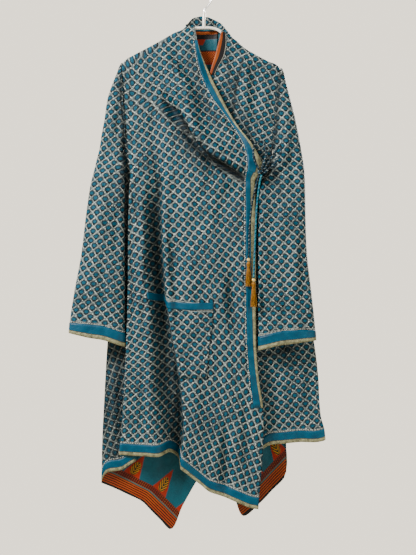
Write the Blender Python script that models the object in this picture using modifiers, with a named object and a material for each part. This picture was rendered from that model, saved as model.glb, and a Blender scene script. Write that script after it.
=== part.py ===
# A reversible wrap robe of kimono cut, hanging flat on a plastic hanger with a wire hook.
# Metres, +Z up. The origin is the inside of the hook's top, and the robe's front faces -Y.
# Right and left are the wearer's, so the right sleeve is at -X. Sizes below are in millimetres.

import math

import bmesh
import bpy
from mathutils import Vector

MM = 0.001
WALL = 1.4
BAND_WALL = 1.0
SEAM_GAP = 0.3
CURVE_ROOM = 0.2
BAND_LIFT = (WALL + BAND_WALL) / 2 + SEAM_GAP + CURVE_ROOM
LINING_LIFT = WALL + SEAM_GAP + 0.05
POCKET_LIFT = WALL + SEAM_GAP + 0.5
POCKET_BAND_LIFT = POCKET_LIFT + (WALL + BAND_WALL) / 2 + 0.4
CUFF_LIFT = BAND_LIFT - 0.1
SLEEVE_SEAM_LIFT = WALL + 0.95
NECK_LINING_LIFT = 2.9
COLLECTION_NAME = "wrap_robe_on_hanger"

HOOK_RADIUS = 22.0
HOOK_WIRE = 3.8
HANGER_TUBE = 7.0
STEM_TUBE = 8.0
CURL_RADIUS = 5.8
SHOULDER_SLOPE = 0.55
STEM_TOP = -84.0
STEM_FOOT = -119.0
HEM_BAND = 26.0
CUFF_BAND = 25.0
TIE_TUBE = 4.4
TIE_KNOT_SIZE = 13.0
BEAD_SIZE = 9.0
TASSEL_LENGTH = 56.0
TASSEL_HEAD = 12.0
TASSEL_RADIUS = 4.6


def table(columns, *rows):
    """Rows of numbers in millimetres, each value filed under its column's name."""
    names = columns.split()
    return {name: [row[place] for row in rows] for place, name in enumerate(names)}


# Heights run down from the hook, so every table is read from its top row downwards.
# Where the shoulders, armholes and side seams run, seen from the front.
SIDES = table(
    "height right left",
    (-112, -38, 42),
    (-122, -48, 50),
    (-130, -67, 57),
    (-140, -85, 64),
    (-150, -102, 76),
    (-170, -139, 99),
    (-182, -162, 121),
    (-196, -184, 147),
    (-209, -189, 172),
    (-221, -190, 174),
    (-281, -190, 169),
    (-340, -186, 165),
    (-400, -184, 158),
    (-420, -184, 154),
    (-500, -190, 172),
    (-600, -201, 198),
    (-842, -223, 254),
    (-925, -228, 264),
    (-1003, -232, 268),
    (-1060, -235, 280),
    (-1168, -237, 281),
)

# How far the cloth stands from the hanger's plane at the armholes, and then at the side seams.
SIDE_DEPTH = table(
    "height front back",
    (-112, 8, 8),
    (-370, 8, 8),
    (-420, 1, 1),
    (-470, -4, 6.6),
    (-520, -8, 10.4),
    (-860, -9, 11.5),
    (-1000, -7, 11.5),
    (-1168, -7, 11.5),
)

# The overlapping right front, by landmarks across it at each height.
RIGHT_FRONT_X = table(
    "height tuck pleat_left pleat_right valley ridge middle band edge",
    (-115, -34, -33, -31, -30, -28, -26, -24, -22),
    (-130, -54, -50, -46, -41, -37, -30, -23, -19),
    (-150, -84, -76, -68, -60, -52, -38, -22, -15),
    (-179, -128, -112, -98, -86, -76, -50, -17, -8),
    (-196, -158, -142, -124, -108, -92, -55, -15, -3),
    (-238, -166, -148, -128, -112, -90, -48, -3, 20),
    (-306, -168, -150, -130, -114, -88, -30, 35, 51),
    (-361, -168, -152, -132, -116, -84, -15, 76, 86),
    (-416, -170, -156, -136, -118, -80, 8, 99, 124),
    (-446, -171, -160, -138, -120, -82, 12, 101, 133),
    (-474, -173, -166, -140, -121, -86, 14, 95, 116),
    (-560, -174, -172, -142, -122, -94, 16, 95, 117),
    (-680, -174, -173, -138, -120, -90, 18, 95, 118),
    (-760, -172, -174, -128, -112, -80, 22, 96, 118),
    (-850, -168, -177, -120, -104, -64, 12, 99, 119),
    (-925, -163, -180, -116, -98, -52, 6, 105, 125),
    (-1003, -160, -184, -110, -93, -46, 8, 114, 136),
    (-1042, -158, -187, -107, -90, -44, 9, 117, 139),
    (-1100, -156, -192, -104, -86, -50, 10, 113, 133),
    (-1230, -154, -194, -102, -84, -54, 12, 102, 123),
)

# How far each landmark of the right front stands forward of the hanger's plane.
RIGHT_FRONT_FORWARD = table(
    "height tuck pleat_left pleat_right valley ridge middle band edge",
    (-115, 4, 5, 5, 6, 6, 7, 7, 7),
    (-150, 7, 7, 8, 8, 9, 10, 10, 10),
    (-200, 9, 10, 10, 9, 11, 12, 13, 14),
    (-300, 10, 13, 13, 10, 20, 22, 20, 20),
    (-400, 8, 15, 14, 10, 20, 32, 34, 36),
    (-460, 5, 18, 16, 10, 20, 26, 34, 36),
    (-520, 3, 21, 19, 8, 20, 25, 24, 23),
    (-700, 2, 24, 21, 5, 22, 26, 25, 23),
    (-900, -2, 29, 27, 2, 28, 26, 24, 23),
    (-1100, -4, 30, 31, -2, 34, 24, 22, 21),
    (-1230, -4, 30, 31, -2, 34, 24, 22, 21),
)

RIGHT_FRONT_HEM = dict(
    side=-1168, tuck=-1114, pleat_left=-1096, pleat_right=-1100, valley=-1084,
    ridge=-1122, middle=-1180, band=-1217, edge=-1221,
)

# Columns of cloth between one landmark and the next, from the side seam to the front edge.
RIGHT_FRONT_SPANS = dict(tuck=5, pleat_left=3, pleat_right=3, valley=2, ridge=3, middle=4, band=5, edge=1)
# Its grid rows: level at the top, along the chest drape's ridge, level again, then out to the hem.
TOP_ROWS = (-115.2, -122, -130, -140, -150, -162)
SHARES_TO_COWL = (0.25, 0.5, 0.75)
COWL_OFFSETS = (60, 40, 24, 11, 2, -6, -14)
SHARES_BELOW_COWL = (0.17, 0.345, 0.45, 0.52, 0.61, 0.71, 0.86)
LOWER_ROWS = (-560, -640, -720, -795, -860, -925, -990)
FAN_ROWS = 3
NECK_BAND_ROWS = (4, 11)
EDGE_BAND_ROWS = (13, 29)

# The left front lies beneath, and shows at the chest and below the left sleeve.
LEFT_FRONT_X = table(
    "height edge band middle",
    (-112, 39, 41, 41),
    (-122, 40, 45, 46),
    (-130, 39, 48, 52),
    (-150, 34, 51, 60),
    (-180, 26, 47, 78),
    (-221, 14, 27, 96),
    (-260, 6, 16, 96),
    (-300, 2, 12, 98),
    (-500, 2, 22, 104),
    (-1000, 30, 54, 150),
    (-1200, 36, 60, 156),
)
LEFT_FRONT_FORWARD = table(
    "height edge band middle",
    (-112, 3, 2, 1),
    (-122, 5, 4, 3),
    (-130, 6, 5, 5),
    (-150, 7, 7, 7),
    (-221, 8, 9, 11),
    (-300, 6, 7, 12),
    (-400, 4, 4, 8),
    (-460, 3, 3, -1),
    (-520, 2, 2, -4),
    (-900, 3, 3, -3),
    (-1200, 5, 5, 3),
)
LEFT_FRONT_HEM = dict(edge=-1140, band=-1132, middle=-1078, side=-1067)
LEFT_FRONT_SPANS = dict(band=1, middle=4, side=6)
LEFT_FRONT_ROWS = (
    -115.2, -122, -130, -140, -150, -165, -182, -196, -209, -228, -252, -281, -330, -370, -400,
    -420, -445, -475, -520, -600, -690, -780, -860, -925, -990,
)

# The back's hem: two hanging corners with a high point between them, hidden by the front.
BACK_HEM = table(
    "share height span",
    (0.00, -1168, 0),
    (0.18, -1213, 3),
    (0.303, -1278, 3),
    (0.42, -1170, 2),
    (0.505, -1100, 2),
    (0.633, -1247, 3),
    (0.71, -1216, 1),
    (0.817, -1159, 2),
    (0.845, -1068, 1),
    (1.00, -1062, 3),
)
BACK_ROWS = (
    -115.2, -122, -130, -140, -150, -165, -182, -196, -209, -221, -243, -281, -330, -370, -400,
    -420, -445, -475, -520, -600, -720, -860, -990,
)
LINING_TOP_ROW = 22

# Sleeves as flattened tubes: the fold away from the body, the fold beside it, and the depth.
RIGHT_SLEEVE = table(
    "height outer inner centre half_depth",
    (-200, -190, -187, 0, 4),
    (-209, -195, -190, 0, 6),
    (-221, -199, -190, -0.5, 8.5),
    (-243, -208, -187, -1, 10.5),
    (-290, -223, -186, -2, 12),
    (-334, -229, -182, -3, 12),
    (-372, -236, -182, -4, 12),
    (-400, -240, -186, -5, 12),
    (-420, -245, -186.5, -7, 11),
    (-445, -250, -187.4, -14, 11),
    (-475, -257, -182, -19, 12),
    (-540, -267, -182, -22, 15),
    (-669, -283, -181, -23, 16),
    (-782, -304, -181, -23, 17),
    (-860, -309, -180, -23, 17),
)
LEFT_SLEEVE = table(
    "height outer inner centre half_depth",
    (-213, 180, 175, 0, 4),
    (-221, 183, 174, -0.5, 6.5),
    (-237, 187, 169, -1, 9),
    (-282, 198, 164, -2, 12),
    (-340, 212, 160, -3, 12),
    (-372, 218, 156, -4, 12),
    (-400, 223, 160, -5, 12),
    (-420, 226, 157.5, -7, 11),
    (-445, 229, 161, -14, 11),
    (-475, 230, 134, -19, 12),
    (-540, 231, 126, -20, 14),
    (-650, 235, 124, -20, 15),
    (-782, 251, 124, -20, 15),
    (-860, 256, 125, -20, 15),
)
SLEEVE_ROWS = (-221, -243, -281, -330, -370, -400, -420, -445, -475, -540, -640, -740)
SLEEVE_COLUMNS = 18
UNDERARM = -420
CUFF_END = dict(right_outer=-819, right_inner=-851, left_outer=-836, left_inner=-859)

# The standing collar: a strip round the back of the neck, in plan, with its two edges.
COLLAR = table(
    "turn x y top",
    (0, -42, -4, -111.5),
    (1, -38, 5, -108),
    (2, -26, 13, -93),
    (3, -2, 17, -87),
    (4, 18, 15, -93.5),
    (5, 35, 7, -104),
    (6, 42, -3, -111),
)
COLLAR_SEAM = -114.7
COLLAR_STEPS = 12
NECK_LINING_ROWS = (-122, -130, -140, -150, -165, -196, -240)
NECK_LINING_COLUMNS = 6
NECK_LINING_X = (-27, 31)

# Long soft folds of a panel: ends, width and how far each stands forward, or back if negative.
FRONT_FOLDS = table(
    "x_top z_top x_foot z_foot width forward",
    (-60, -165, 0, -290, 26, -6),
    (58, -655, 76, -810, 30, -7),
    (44, -1035, 52, -1200, 30, -8),
    (-30, -560, 10, -700, 60, 4),
)
FOLD_RUN_OUT = 0.15
UNDER_FOLDS = table(
    "x_top z_top x_foot z_foot width forward",
    (69, -205, 66, -335, 16, -5),
    (90, -190, 92, -330, 18, 5),
    (190, -860, 198, -960, 26, 5),
    (226, -900, 236, -1060, 30, -4),
)
BACK_FOLDS = table(
    "x_top z_top x_foot z_foot width forward",
    (-90, -300, -130, -1180, 60, 6),
    (-20, -400, -55, -1240, 55, -7),
    (60, -330, 60, -1200, 60, 5),
    (120, -420, 165, -1150, 50, -7),
)
# The overhanging drape across the chest, from the right armhole down to the tie.
COWL = table(
    "x z forward",
    (-190, -256, 0),
    (-150, -258, 0),
    (-118, -266, 0),
    (-92, -285, 4),
    (-76, -330, 12),
    (-52, -372, 20),
    (-22, -396, 22),
    (26, -424, 20),
    (70, -446, 14),
    (104, -462, 7),
    (136, -474, 0),
)
COWL_ABOVE = 60.0
COWL_BELOW = 15.0
COWL_DROOP = 0.35

POCKET_TOP = table("share height", (0, -738), (0.3, -748), (0.6, -755), (1, -756))
POCKET_ROWS = (-795, -860, -922)
POCKET_BAND = 16.0
BACK_DEPTH = 12.0
BACK_SAG = 11.0
BACK_EDGE_ROUNDING = 45.0

TIE_KNOT = (127.0, -43.6, -455.0)
TIE_ROUTES = {
    "tie_cord_a": (
        (124.6, -44, -461.9), (118, -41, -484), (108, -36, -530), (103, -33, -590), (101, -33, -648)
    ),
    "tie_cord_b": (
        (129.6, -45, -461.9), (124.5, -48, -486), (118.5, -46, -540), (115, -44, -620), (112, -44, -694)
    ),
}
TIE_LOOPS = {
    "tie_loop_a": (
        (123.9, -45, -448.9), (112, -49, -424), (113, -48, -396), (126, -46, -385), (138, -45, -396),
        (139, -45, -420), (129.6, -45, -448.9),
    ),
    "tie_loop_b": (
        (135.1, -44, -451.5), (148, -42, -430), (161, -39, -410), (171, -36, -394), (174, -36, -406),
        (161, -39, -434), (135.1, -44.5, -457.5),
    ),
}


def read(rows, column, at, key="height"):
    """The value of a column at a place between its rows, on a smooth curve that never overshoots."""
    places = rows[key]
    values = rows[column]
    if places[0] > places[-1]:
        places = [-place for place in places]
        at = -at
    at = min(max(at, places[0]), places[-1])
    spot = 0
    while spot < len(places) - 2 and at > places[spot + 1]:
        spot += 1
    gaps = [b - a for a, b in zip(places, places[1:])]
    slopes = [(b - a) / gap for a, b, gap in zip(values, values[1:], gaps)]

    def tangent(row):
        if row == 0:
            return slopes[0]
        if row == len(places) - 1:
            return slopes[-1]
        before, after = slopes[row - 1], slopes[row]
        if before * after <= 0:
            return 0.0
        return 2 * before * after / (before + after)

    gap = gaps[spot]
    t = (at - places[spot]) / gap
    rise, fall = tangent(spot) * gap, tangent(spot + 1) * gap
    start, end = values[spot], values[spot + 1]
    blend = t * t * (3 - 2 * t)
    return start + (end - start) * blend + t * (1 - t) * ((1 - t) * rise - t * fall)


def soft_step(x):
    x = min(max(x, 0.0), 1.0)
    return x * x * (3 - 2 * x)


def folds_at(folds, x, z):
    """How far the long folds lift the cloth forward at a point of it."""
    total = 0.0
    for x0, z0, x1, z1, width, forward in zip(*folds.values()):
        along = (z0 - z) / (z0 - z1)
        if not -FOLD_RUN_OUT < along < 1 + FOLD_RUN_OUT:
            continue
        across = (x - (x0 + (x1 - x0) * along)) / width
        if abs(across) < 1:
            start, end = along + FOLD_RUN_OUT, 1 + FOLD_RUN_OUT - along
            fade = soft_step(start / FOLD_RUN_OUT / 2) * soft_step(end / FOLD_RUN_OUT / 2)
            total += forward * fade * (0.5 + 0.5 * math.cos(math.pi * across))
    return total


def cowl_at(x, z):
    """The chest drape's lift at a point: slow above its ridge and quick below it."""
    if not COWL["x"][0] < x < COWL["x"][-1] + 30:
        return 0.0
    ridge = read(COWL, "z", x, "x")
    forward = read(COWL, "forward", x, "x")
    above = z - ridge
    if above >= 0:
        return forward * (1 - soft_step(above / COWL_ABOVE))
    return forward * (1 - soft_step(-above / COWL_BELOW))


def shoulder_limit(x, z):
    """The most that cloth may stand from the hanger's plane so near the shoulder line it hangs over."""
    side = "right" if x < 0 else "left"
    edge = read(SIDES, side, z)
    inset = max(abs(edge) - abs(x), 0.0)
    run = abs(read(SIDES, side, z - 2) - read(SIDES, side, z + 2))
    away = inset * 4 / math.hypot(4, run)
    if away < CURL_RADIUS:
        return max(math.sqrt(CURL_RADIUS**2 - (CURL_RADIUS - away) ** 2), 1.0)
    return CURL_RADIUS + (away - CURL_RADIUS) * 1.2


def tip_allowance(z):
    """How the shoulder's hold on the depth ends below the hanger's tips, where the armholes open."""
    return 10 * soft_step((-198 - z) / 32)


def side_depth(face, z):
    """The distance from the hanger's plane to a panel's side edge, on the front or the back face."""
    return min(read(SIDE_DEPTH, face, z), 1 + tip_allowance(z))


def spans_to_columns(spans, first):
    """Each grid column's landmark, next landmark and share of the way between them."""
    columns = [(first, first, 0.0)]
    before = first
    for name, count in spans.items():
        columns += [(before, name, (step + 1) / count) for step in range(count)]
        before = name
    return columns


def hem_fan(last, hem):
    """The three rows that fan out from the last level one to the slanting hem and its band."""
    return [last + (hem + HEM_BAND - last) * 0.5, hem + HEM_BAND, hem]


def row_height(rows, hem, row):
    """The height of a grid row: level rows first, then rows that fan out to the slanting hem."""
    return rows[row] if row < len(rows) else hem_fan(rows[-1], hem)[row - len(rows)]


def cowl_line(column):
    """The height at which a grid column of the right front crosses the chest drape's ridge."""
    z = -380
    for _ in range(8):
        x = right_front_spot(column, z)[0]
        z = read(COWL, "z", x, "x")
    return z


def right_front_heights(column, hem):
    """A grid column's heights, from the shoulder down to the hem."""
    ridge = cowl_line(column)
    start, end = TOP_ROWS[-1], LOWER_ROWS[0]
    first, last = ridge + COWL_OFFSETS[0], ridge + COWL_OFFSETS[-1]
    heights = list(TOP_ROWS)
    heights += [start + (first - start) * share for share in SHARES_TO_COWL]
    heights += [ridge + offset for offset in COWL_OFFSETS]
    heights += [last + (end - last) * share for share in SHARES_BELOW_COWL]
    heights += LOWER_ROWS
    return heights + hem_fan(LOWER_ROWS[-1], hem)


def landmark(x_rows, forward_rows, name, z, sign):
    if name == "side":
        side = "right" if sign < 0 else "left"
        return read(SIDES, side, z), read(SIDE_DEPTH, "front", z)
    return read(x_rows, name, z), read(forward_rows, name, z)


def near_shoulder(x, inner, outer, steps_in):
    """Keeps the first cells beside a shoulder narrow, so that the cloth bends round the hanger."""
    insets = (0, 2.6, 8.9)
    if not 0 < steps_in < len(insets):
        return x
    reach = min(insets[steps_in], abs(inner - outer) * steps_in / (steps_in + 1.5))
    return outer + math.copysign(reach, inner - outer)


def right_front_spot(column, z):
    """Across and forward places of the overlapping front, before its folds."""
    before, after, share = column
    x0, f0 = landmark(RIGHT_FRONT_X, RIGHT_FRONT_FORWARD, before, z, -1)
    x1, f1 = landmark(RIGHT_FRONT_X, RIGHT_FRONT_FORWARD, after, z, -1)
    x = x0 + (x1 - x0) * share
    if before == "side":
        x = near_shoulder(x, x1, x0, round(share * RIGHT_FRONT_SPANS["tuck"]))
    return x, f0 + (f1 - f0) * soft_step(share)


def right_front(column, z):
    """A point of the overlapping front at a grid column and a height, in millimetres."""
    x, forward = right_front_spot(column, z)
    drape = cowl_at(x, z)
    forward += drape + folds_at(FRONT_FOLDS, x, z)
    forward = min(forward, shoulder_limit(x, z) + tip_allowance(z))
    return x, -forward, z - COWL_DROOP * drape


def left_front(column, z):
    """A point of the front beneath at a grid column and a height, in millimetres."""
    before, after, share = column
    x0, f0 = landmark(LEFT_FRONT_X, LEFT_FRONT_FORWARD, before, z, 1)
    x1, f1 = landmark(LEFT_FRONT_X, LEFT_FRONT_FORWARD, after, z, 1)
    x = x0 + (x1 - x0) * share
    if after == "side":
        x = near_shoulder(x, x0, x1, round(LEFT_FRONT_SPANS["side"] * (1 - share)))
    forward = f0 + (f1 - f0) * soft_step(share) + folds_at(UNDER_FOLDS, x, z)
    return x, -min(forward, shoulder_limit(x, z) + tip_allowance(z)), z


def back_depth(x, z):
    """How far behind the hanger's plane the back lies at a point of it."""
    inset = max(min(x - read(SIDES, "right", z), read(SIDES, "left", z) - x), 0.0)
    turn = read(dict(x=COLLAR["x"], turn=COLLAR["turn"]), "turn", x, "x")
    near_neck = (1 - soft_step((-118 - z) / 70)) * (1 - soft_step((abs(x) - 34) / 30))
    deep = BACK_DEPTH + BACK_SAG * soft_step((-400 - z) / 300)
    deep += (read(COLLAR, "y", turn, "turn") - deep) * near_neck
    edge = read(SIDE_DEPTH, "back", z)
    depth = edge + (deep - edge) * soft_step(inset / BACK_EDGE_ROUNDING) - folds_at(BACK_FOLDS, x, z)
    return min(depth, shoulder_limit(x, z) + tip_allowance(z))


def back_columns():
    """Each column's share of the back's width, its hem height, and its steps from both sides."""
    columns = []
    shares, heights, spans = BACK_HEM["share"], BACK_HEM["height"], BACK_HEM["span"]
    for place in range(1, len(shares)):
        for step in range(spans[place]):
            t = step / spans[place]
            share = shares[place - 1] + (shares[place] - shares[place - 1]) * t
            columns.append((share, heights[place - 1] + (heights[place] - heights[place - 1]) * t))
    columns.append((shares[-1], heights[-1]))
    last = len(columns) - 1
    return [(share, height, place, last - place) for place, (share, height) in enumerate(columns)]


def back(column, z):
    """A point of the back at a grid column and a height, in millimetres."""
    share, _, from_right, from_left = column
    right, left = read(SIDES, "right", z), read(SIDES, "left", z)
    middle = (right + left) / 2
    even = right + (left - right) * share
    bent = near_shoulder(even, middle, right, from_right)
    bent = near_shoulder(bent, middle, left, from_left)
    x = even + (bent - even) * soft_step((z + 265) / 60)
    return x, back_depth(x, z), z


def clear_scene():
    for item in list(bpy.data.objects):
        bpy.data.objects.remove(item, do_unlink=True)


def finish(name, colour, roughness=0.75, metallic=0.0):
    material = bpy.data.materials.new(name)
    material.use_nodes = True
    shader = material.node_tree.nodes["Principled BSDF"]
    shader.inputs["Base Color"].default_value = (*colour, 1.0)
    shader.inputs["Roughness"].default_value = roughness
    shader.inputs["Metallic"].default_value = metallic
    return material


def add_object(name, data, material, home):
    item = bpy.data.objects.new(name, data)
    data.materials.append(material)
    home.objects.link(item)
    return item


def cloth(name, columns, rows, place, material, home, wall=WALL, weld=False):
    """An open sheet of columns by rows of cells, laid where place says, with a wall's thickness."""
    mesh = bpy.data.meshes.new(name)
    shape = bmesh.new()
    bmesh.ops.create_grid(shape, x_segments=columns, y_segments=rows, size=0.5)
    for vert in shape.verts:
        column = round((vert.co.x + 0.5) * columns)
        row = round((0.5 - vert.co.y) * rows)
        vert.co = Vector(place(column, row)) * MM
    if weld:
        bmesh.ops.remove_doubles(shape, verts=shape.verts, dist=0.01 * MM)
        bmesh.ops.recalc_face_normals(shape, faces=shape.faces)
    shape.to_mesh(mesh)
    shape.free()
    mesh.shade_smooth()
    item = add_object(name, mesh, material, home)
    thicken = item.modifiers.new("wall", "SOLIDIFY")
    thicken.thickness = wall * MM
    thicken.offset = 0.0


def moved_out(place, column, row, columns, rows, lift):
    """The point of a grid at a column and row, moved out along the cloth's own normal."""
    here = Vector(place(column, row))
    right = Vector(place(min(column + 1, columns), row)) - Vector(place(max(column - 1, 0), row))
    down = Vector(place(column, min(row + 1, rows))) - Vector(place(column, max(row - 1, 0)))
    return here + down.cross(right).normalized() * lift


def tube(name, points, width, material, home, spacing=2.2):
    """A round tube along a smooth curve through the points, with closed ends."""
    curve = bpy.data.curves.new(name, "CURVE")
    curve.dimensions = "3D"
    curve.bevel_depth = width / 2 * MM
    curve.bevel_resolution = 2
    curve.use_fill_caps = True
    path = smooth_route(points, width * spacing)
    spline = curve.splines.new("POLY")
    spline.points.add(len(path) - 1)
    for spot, point in zip(spline.points, path):
        spot.co = (*(Vector(point) * MM), 1.0)
    return add_object(name, curve, material, home)


def smooth_route(points, step):
    """Points a step apart, read from a smooth curve through a route's own points."""
    ends = [Vector(point) for point in points]
    fine = []
    for place in range(len(ends) - 1):
        before = ends[max(place - 1, 0)]
        start, stop = ends[place], ends[place + 1]
        after = ends[min(place + 2, len(ends) - 1)]
        for share in range(20):
            t = share / 20
            fine.append(
                0.5 * (2 * start + (stop - before) * t + (2 * before - 5 * start + 4 * stop - after) * t**2
                       + (3 * start - before - 3 * stop + after) * t**3)
            )
    fine.append(ends[-1])
    lengths = [0.0]
    for a, b in zip(fine, fine[1:]):
        lengths.append(lengths[-1] + (b - a).length)
    count = max(round(lengths[-1] / step), 2)
    route = []
    for place in range(count + 1):
        want = lengths[-1] * place / count
        spot = max(index for index, length in enumerate(lengths) if length <= want + 1e-9)
        spot = min(spot, len(fine) - 2)
        share = (want - lengths[spot]) / (lengths[spot + 1] - lengths[spot])
        route.append(fine[spot].lerp(fine[spot + 1], share))
    return route


def make_fronts(looks, home):
    columns = spans_to_columns(RIGHT_FRONT_SPANS, "side")
    across = len(columns) - 1

    def hem_of(column, hems):
        before, after, share = column
        return hems[before] + (hems[after] - hems[before]) * share

    heights = [right_front_heights(column, hem_of(column, RIGHT_FRONT_HEM)) for column in columns]
    last = len(heights[0]) - 1

    def overlap(column, row):
        return right_front(columns[column], heights[column][row])

    def strip(name, first, end, top, foot, look):
        def spot(column, row):
            return moved_out(overlap, first + column, top + row, across, last, BAND_LIFT)

        cloth(name, end - first, foot - top, spot, looks[look], home, BAND_WALL)

    pleat = columns.index(("tuck", "pleat_left", 1.0))
    tuck = columns.index(("side", "tuck", 1.0))
    cloth("front_right", across, last, overlap, looks["print"], home)
    strip("hem_band_side", 0, tuck - 1, last - 1, last, "border")
    strip("hem_band_front", pleat, across, last - 1, last, "border")
    strip("neck_band", across - 1, across, *NECK_BAND_ROWS, "border")
    strip("front_edge_band", across - 1, across, *EDGE_BAND_ROWS, "border")
    make_pocket(looks, home, columns)

    under_columns = spans_to_columns(LEFT_FRONT_SPANS, "edge")
    under_last = len(LEFT_FRONT_ROWS) - 1 + FAN_ROWS
    under_across = len(under_columns) - 1

    def under(column, row):
        hem = hem_of(under_columns[column], LEFT_FRONT_HEM)
        return left_front(under_columns[column], row_height(LEFT_FRONT_ROWS, hem, row))

    def under_hem(column, row):
        return moved_out(under, column + 3, row + under_last - 1, under_across, under_last, BAND_LIFT)

    def facing(column, row):
        return moved_out(under, column, row + 2, under_across, under_last, BAND_LIFT)

    cloth("front_left", under_across, under_last, under, looks["print"], home)
    cloth("hem_band_left", under_across - 3, 1, under_hem, looks["border"], home, BAND_WALL)
    cloth("neck_facing", 1, LEFT_FRONT_ROWS.index(-228) - 2, facing, looks["lining"], home, BAND_WALL)


def make_pocket(looks, home, columns):
    first = columns.index(("pleat_right", "valley", 1.0)) + 1
    end = columns.index(("ridge", "middle", 1.0))
    across = end - first
    def spot(column, z, lift):
        here = Vector(right_front(columns[first + column], z))
        beside = Vector(right_front(columns[min(first + column + 1, end)], z))
        before = Vector(right_front(columns[max(first + column - 1, first)], z))
        below = Vector(right_front(columns[first + column], z - 20))
        return here + (below - here).cross(beside - before).normalized() * lift

    def top(column):
        return read(POCKET_TOP, "height", column / across, "share")

    def pouch(column, row):
        return spot(column, top(column) if row == 0 else POCKET_ROWS[row - 1], POCKET_LIFT)

    def band(column, row):
        return spot(column, top(column) - POCKET_BAND * row, POCKET_BAND_LIFT)

    cloth("pocket", across, len(POCKET_ROWS), pouch, looks["print"], home)
    cloth("pocket_band", across, 1, band, looks["border"], home, BAND_WALL)


def make_back(looks, home):
    columns = back_columns()
    across = len(columns) - 1
    last = len(BACK_ROWS) - 1 + FAN_ROWS

    def panel(column, row):
        return back(columns[column], row_height(BACK_ROWS, columns[column][1], row))

    def lining(column, row):
        return moved_out(panel, column, row + LINING_TOP_ROW, across, last, LINING_LIFT)

    cloth("back", across, last, panel, looks["print"], home)
    cloth("hem_lining", across, last - LINING_TOP_ROW, lining, looks["lining"], home)

    def neck_lining(column, row):
        z = NECK_LINING_ROWS[row]
        first, end = NECK_LINING_X
        x = first + (end - first) * column / NECK_LINING_COLUMNS
        return x, back_depth(x, z) - NECK_LINING_LIFT, z

    def collar(column, row):
        turn = COLLAR["turn"][-1] * column / COLLAR_STEPS
        x, y = read(COLLAR, "x", turn, "turn"), read(COLLAR, "y", turn, "turn")
        return x, y, COLLAR_SEAM + (read(COLLAR, "top", turn, "turn") - COLLAR_SEAM) * row / 2

    rows = len(NECK_LINING_ROWS) - 1
    cloth("neck_lining", NECK_LINING_COLUMNS, rows, neck_lining, looks["lining"], home)
    cloth("collar", COLLAR_STEPS, 2, collar, looks["print"], home)


def make_sleeve(name, shape, side, looks, home):
    ends = (CUFF_END[side + "_outer"], CUFF_END[side + "_inner"])
    rows = [height for height in shape["height"] if height > SLEEVE_ROWS[0]] + list(SLEEVE_ROWS)
    count = len(rows) + 2

    def spot(column, row):
        turn = 2 * math.pi * column / SLEEVE_COLUMNS
        inner_share = 0.5 + 0.5 * math.cos(turn)
        end = ends[0] + (ends[1] - ends[0]) * inner_share
        if row < len(rows):
            z = rows[row]
        else:
            z = end + (CUFF_BAND if row == len(rows) else 0)
        outer, inner = read(shape, "outer", z), read(shape, "inner", z)
        centre, half = read(shape, "centre", z), read(shape, "half_depth", z)
        middle, reach = (outer + inner) / 2, (inner - outer) / 2
        cos, sin = math.cos(turn), math.sin(turn)
        x = middle + reach * math.copysign(abs(cos) ** 0.7, cos)
        y = centre - half * math.copysign(abs(sin) ** 0.75, sin)
        if z > UNDERARM and cos > 0:
            gap = side_depth("front", z) + SLEEVE_SEAM_LIFT
            y = min(y, -gap) if column <= SLEEVE_COLUMNS / 2 else max(y, gap)
        return x, y, z

    cloth(name, SLEEVE_COLUMNS, count - 1, spot, looks["print"], home, weld=True)

    def cuff(column, row):
        end_row = row + count - 2
        here = Vector(spot(column, end_row))
        after = Vector(spot(column + 1 if column < SLEEVE_COLUMNS else 1, end_row))
        before = Vector(spot(column - 1 if column > 0 else SLEEVE_COLUMNS - 1, end_row))
        across = after - before
        out = Vector((-across.y, across.x, 0)).normalized()
        centre = (Vector(spot(0, end_row)) + Vector(spot(SLEEVE_COLUMNS // 2, end_row))) / 2
        if out.dot(here - centre) < 0:
            out = -out
        return here + out * CUFF_LIFT

    cuff_name = name.replace("sleeve", "cuff")
    cloth(cuff_name, SLEEVE_COLUMNS, 1, cuff, looks["border"], home, BAND_WALL, weld=True)


def make_tassel(name, top, looks, home):
    """A bound head over a skirt of four-sided strands that grow out of its lower face."""
    mesh = bpy.data.meshes.new(name)
    shape = bmesh.new()
    bmesh.ops.create_grid(shape, x_segments=5, y_segments=5, size=1.0)
    for vert in shape.verts:
        reach = max(abs(vert.co.x), abs(vert.co.y))
        length = math.hypot(vert.co.x, vert.co.y)
        if length > 0:
            vert.co = vert.co * (reach / length)
        vert.co = Vector((vert.co.x, vert.co.y, 0)) * TASSEL_RADIUS * MM
    bottom = list(shape.faces)
    rim = [edge for edge in shape.edges if edge.is_boundary]
    lifted = bmesh.ops.extrude_edge_only(shape, edges=rim)
    ring = [part for part in lifted["geom"] if isinstance(part, bmesh.types.BMVert)]
    for vert in ring:
        vert.co = Vector((vert.co.x * 0.85, vert.co.y * 0.85, TASSEL_HEAD * MM))
    edges = [part for part in lifted["geom"] if isinstance(part, bmesh.types.BMEdge)]
    bmesh.ops.contextual_create(shape, geom=edges)
    bmesh.ops.recalc_face_normals(shape, faces=shape.faces)
    bmesh.ops.inset_individual(shape, faces=bottom, thickness=0.22 * MM)
    strands = bmesh.ops.extrude_discrete_faces(shape, faces=bottom)["faces"]
    length = (TASSEL_LENGTH - TASSEL_HEAD) * MM
    for order, face in enumerate(strands):
        middle = face.calc_center_median()
        spread = 1.65 + 0.1 * math.sin(order * 2.4)
        for vert in face.verts:
            corner = vert.co - middle
            vert.co = Vector((middle.x * spread, middle.y * spread * 0.75, 0)) + corner * 1.15
            vert.co.z = -length * (0.94 + 0.06 * math.sin(order * 1.7))
    bmesh.ops.translate(shape, verts=shape.verts, vec=(Vector(top) - Vector((0, 0, TASSEL_HEAD))) * MM)
    bmesh.ops.triangulate(shape, faces=shape.faces)
    shape.to_mesh(mesh)
    shape.free()
    return add_object(name, mesh, looks["tassel"], home)


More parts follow.
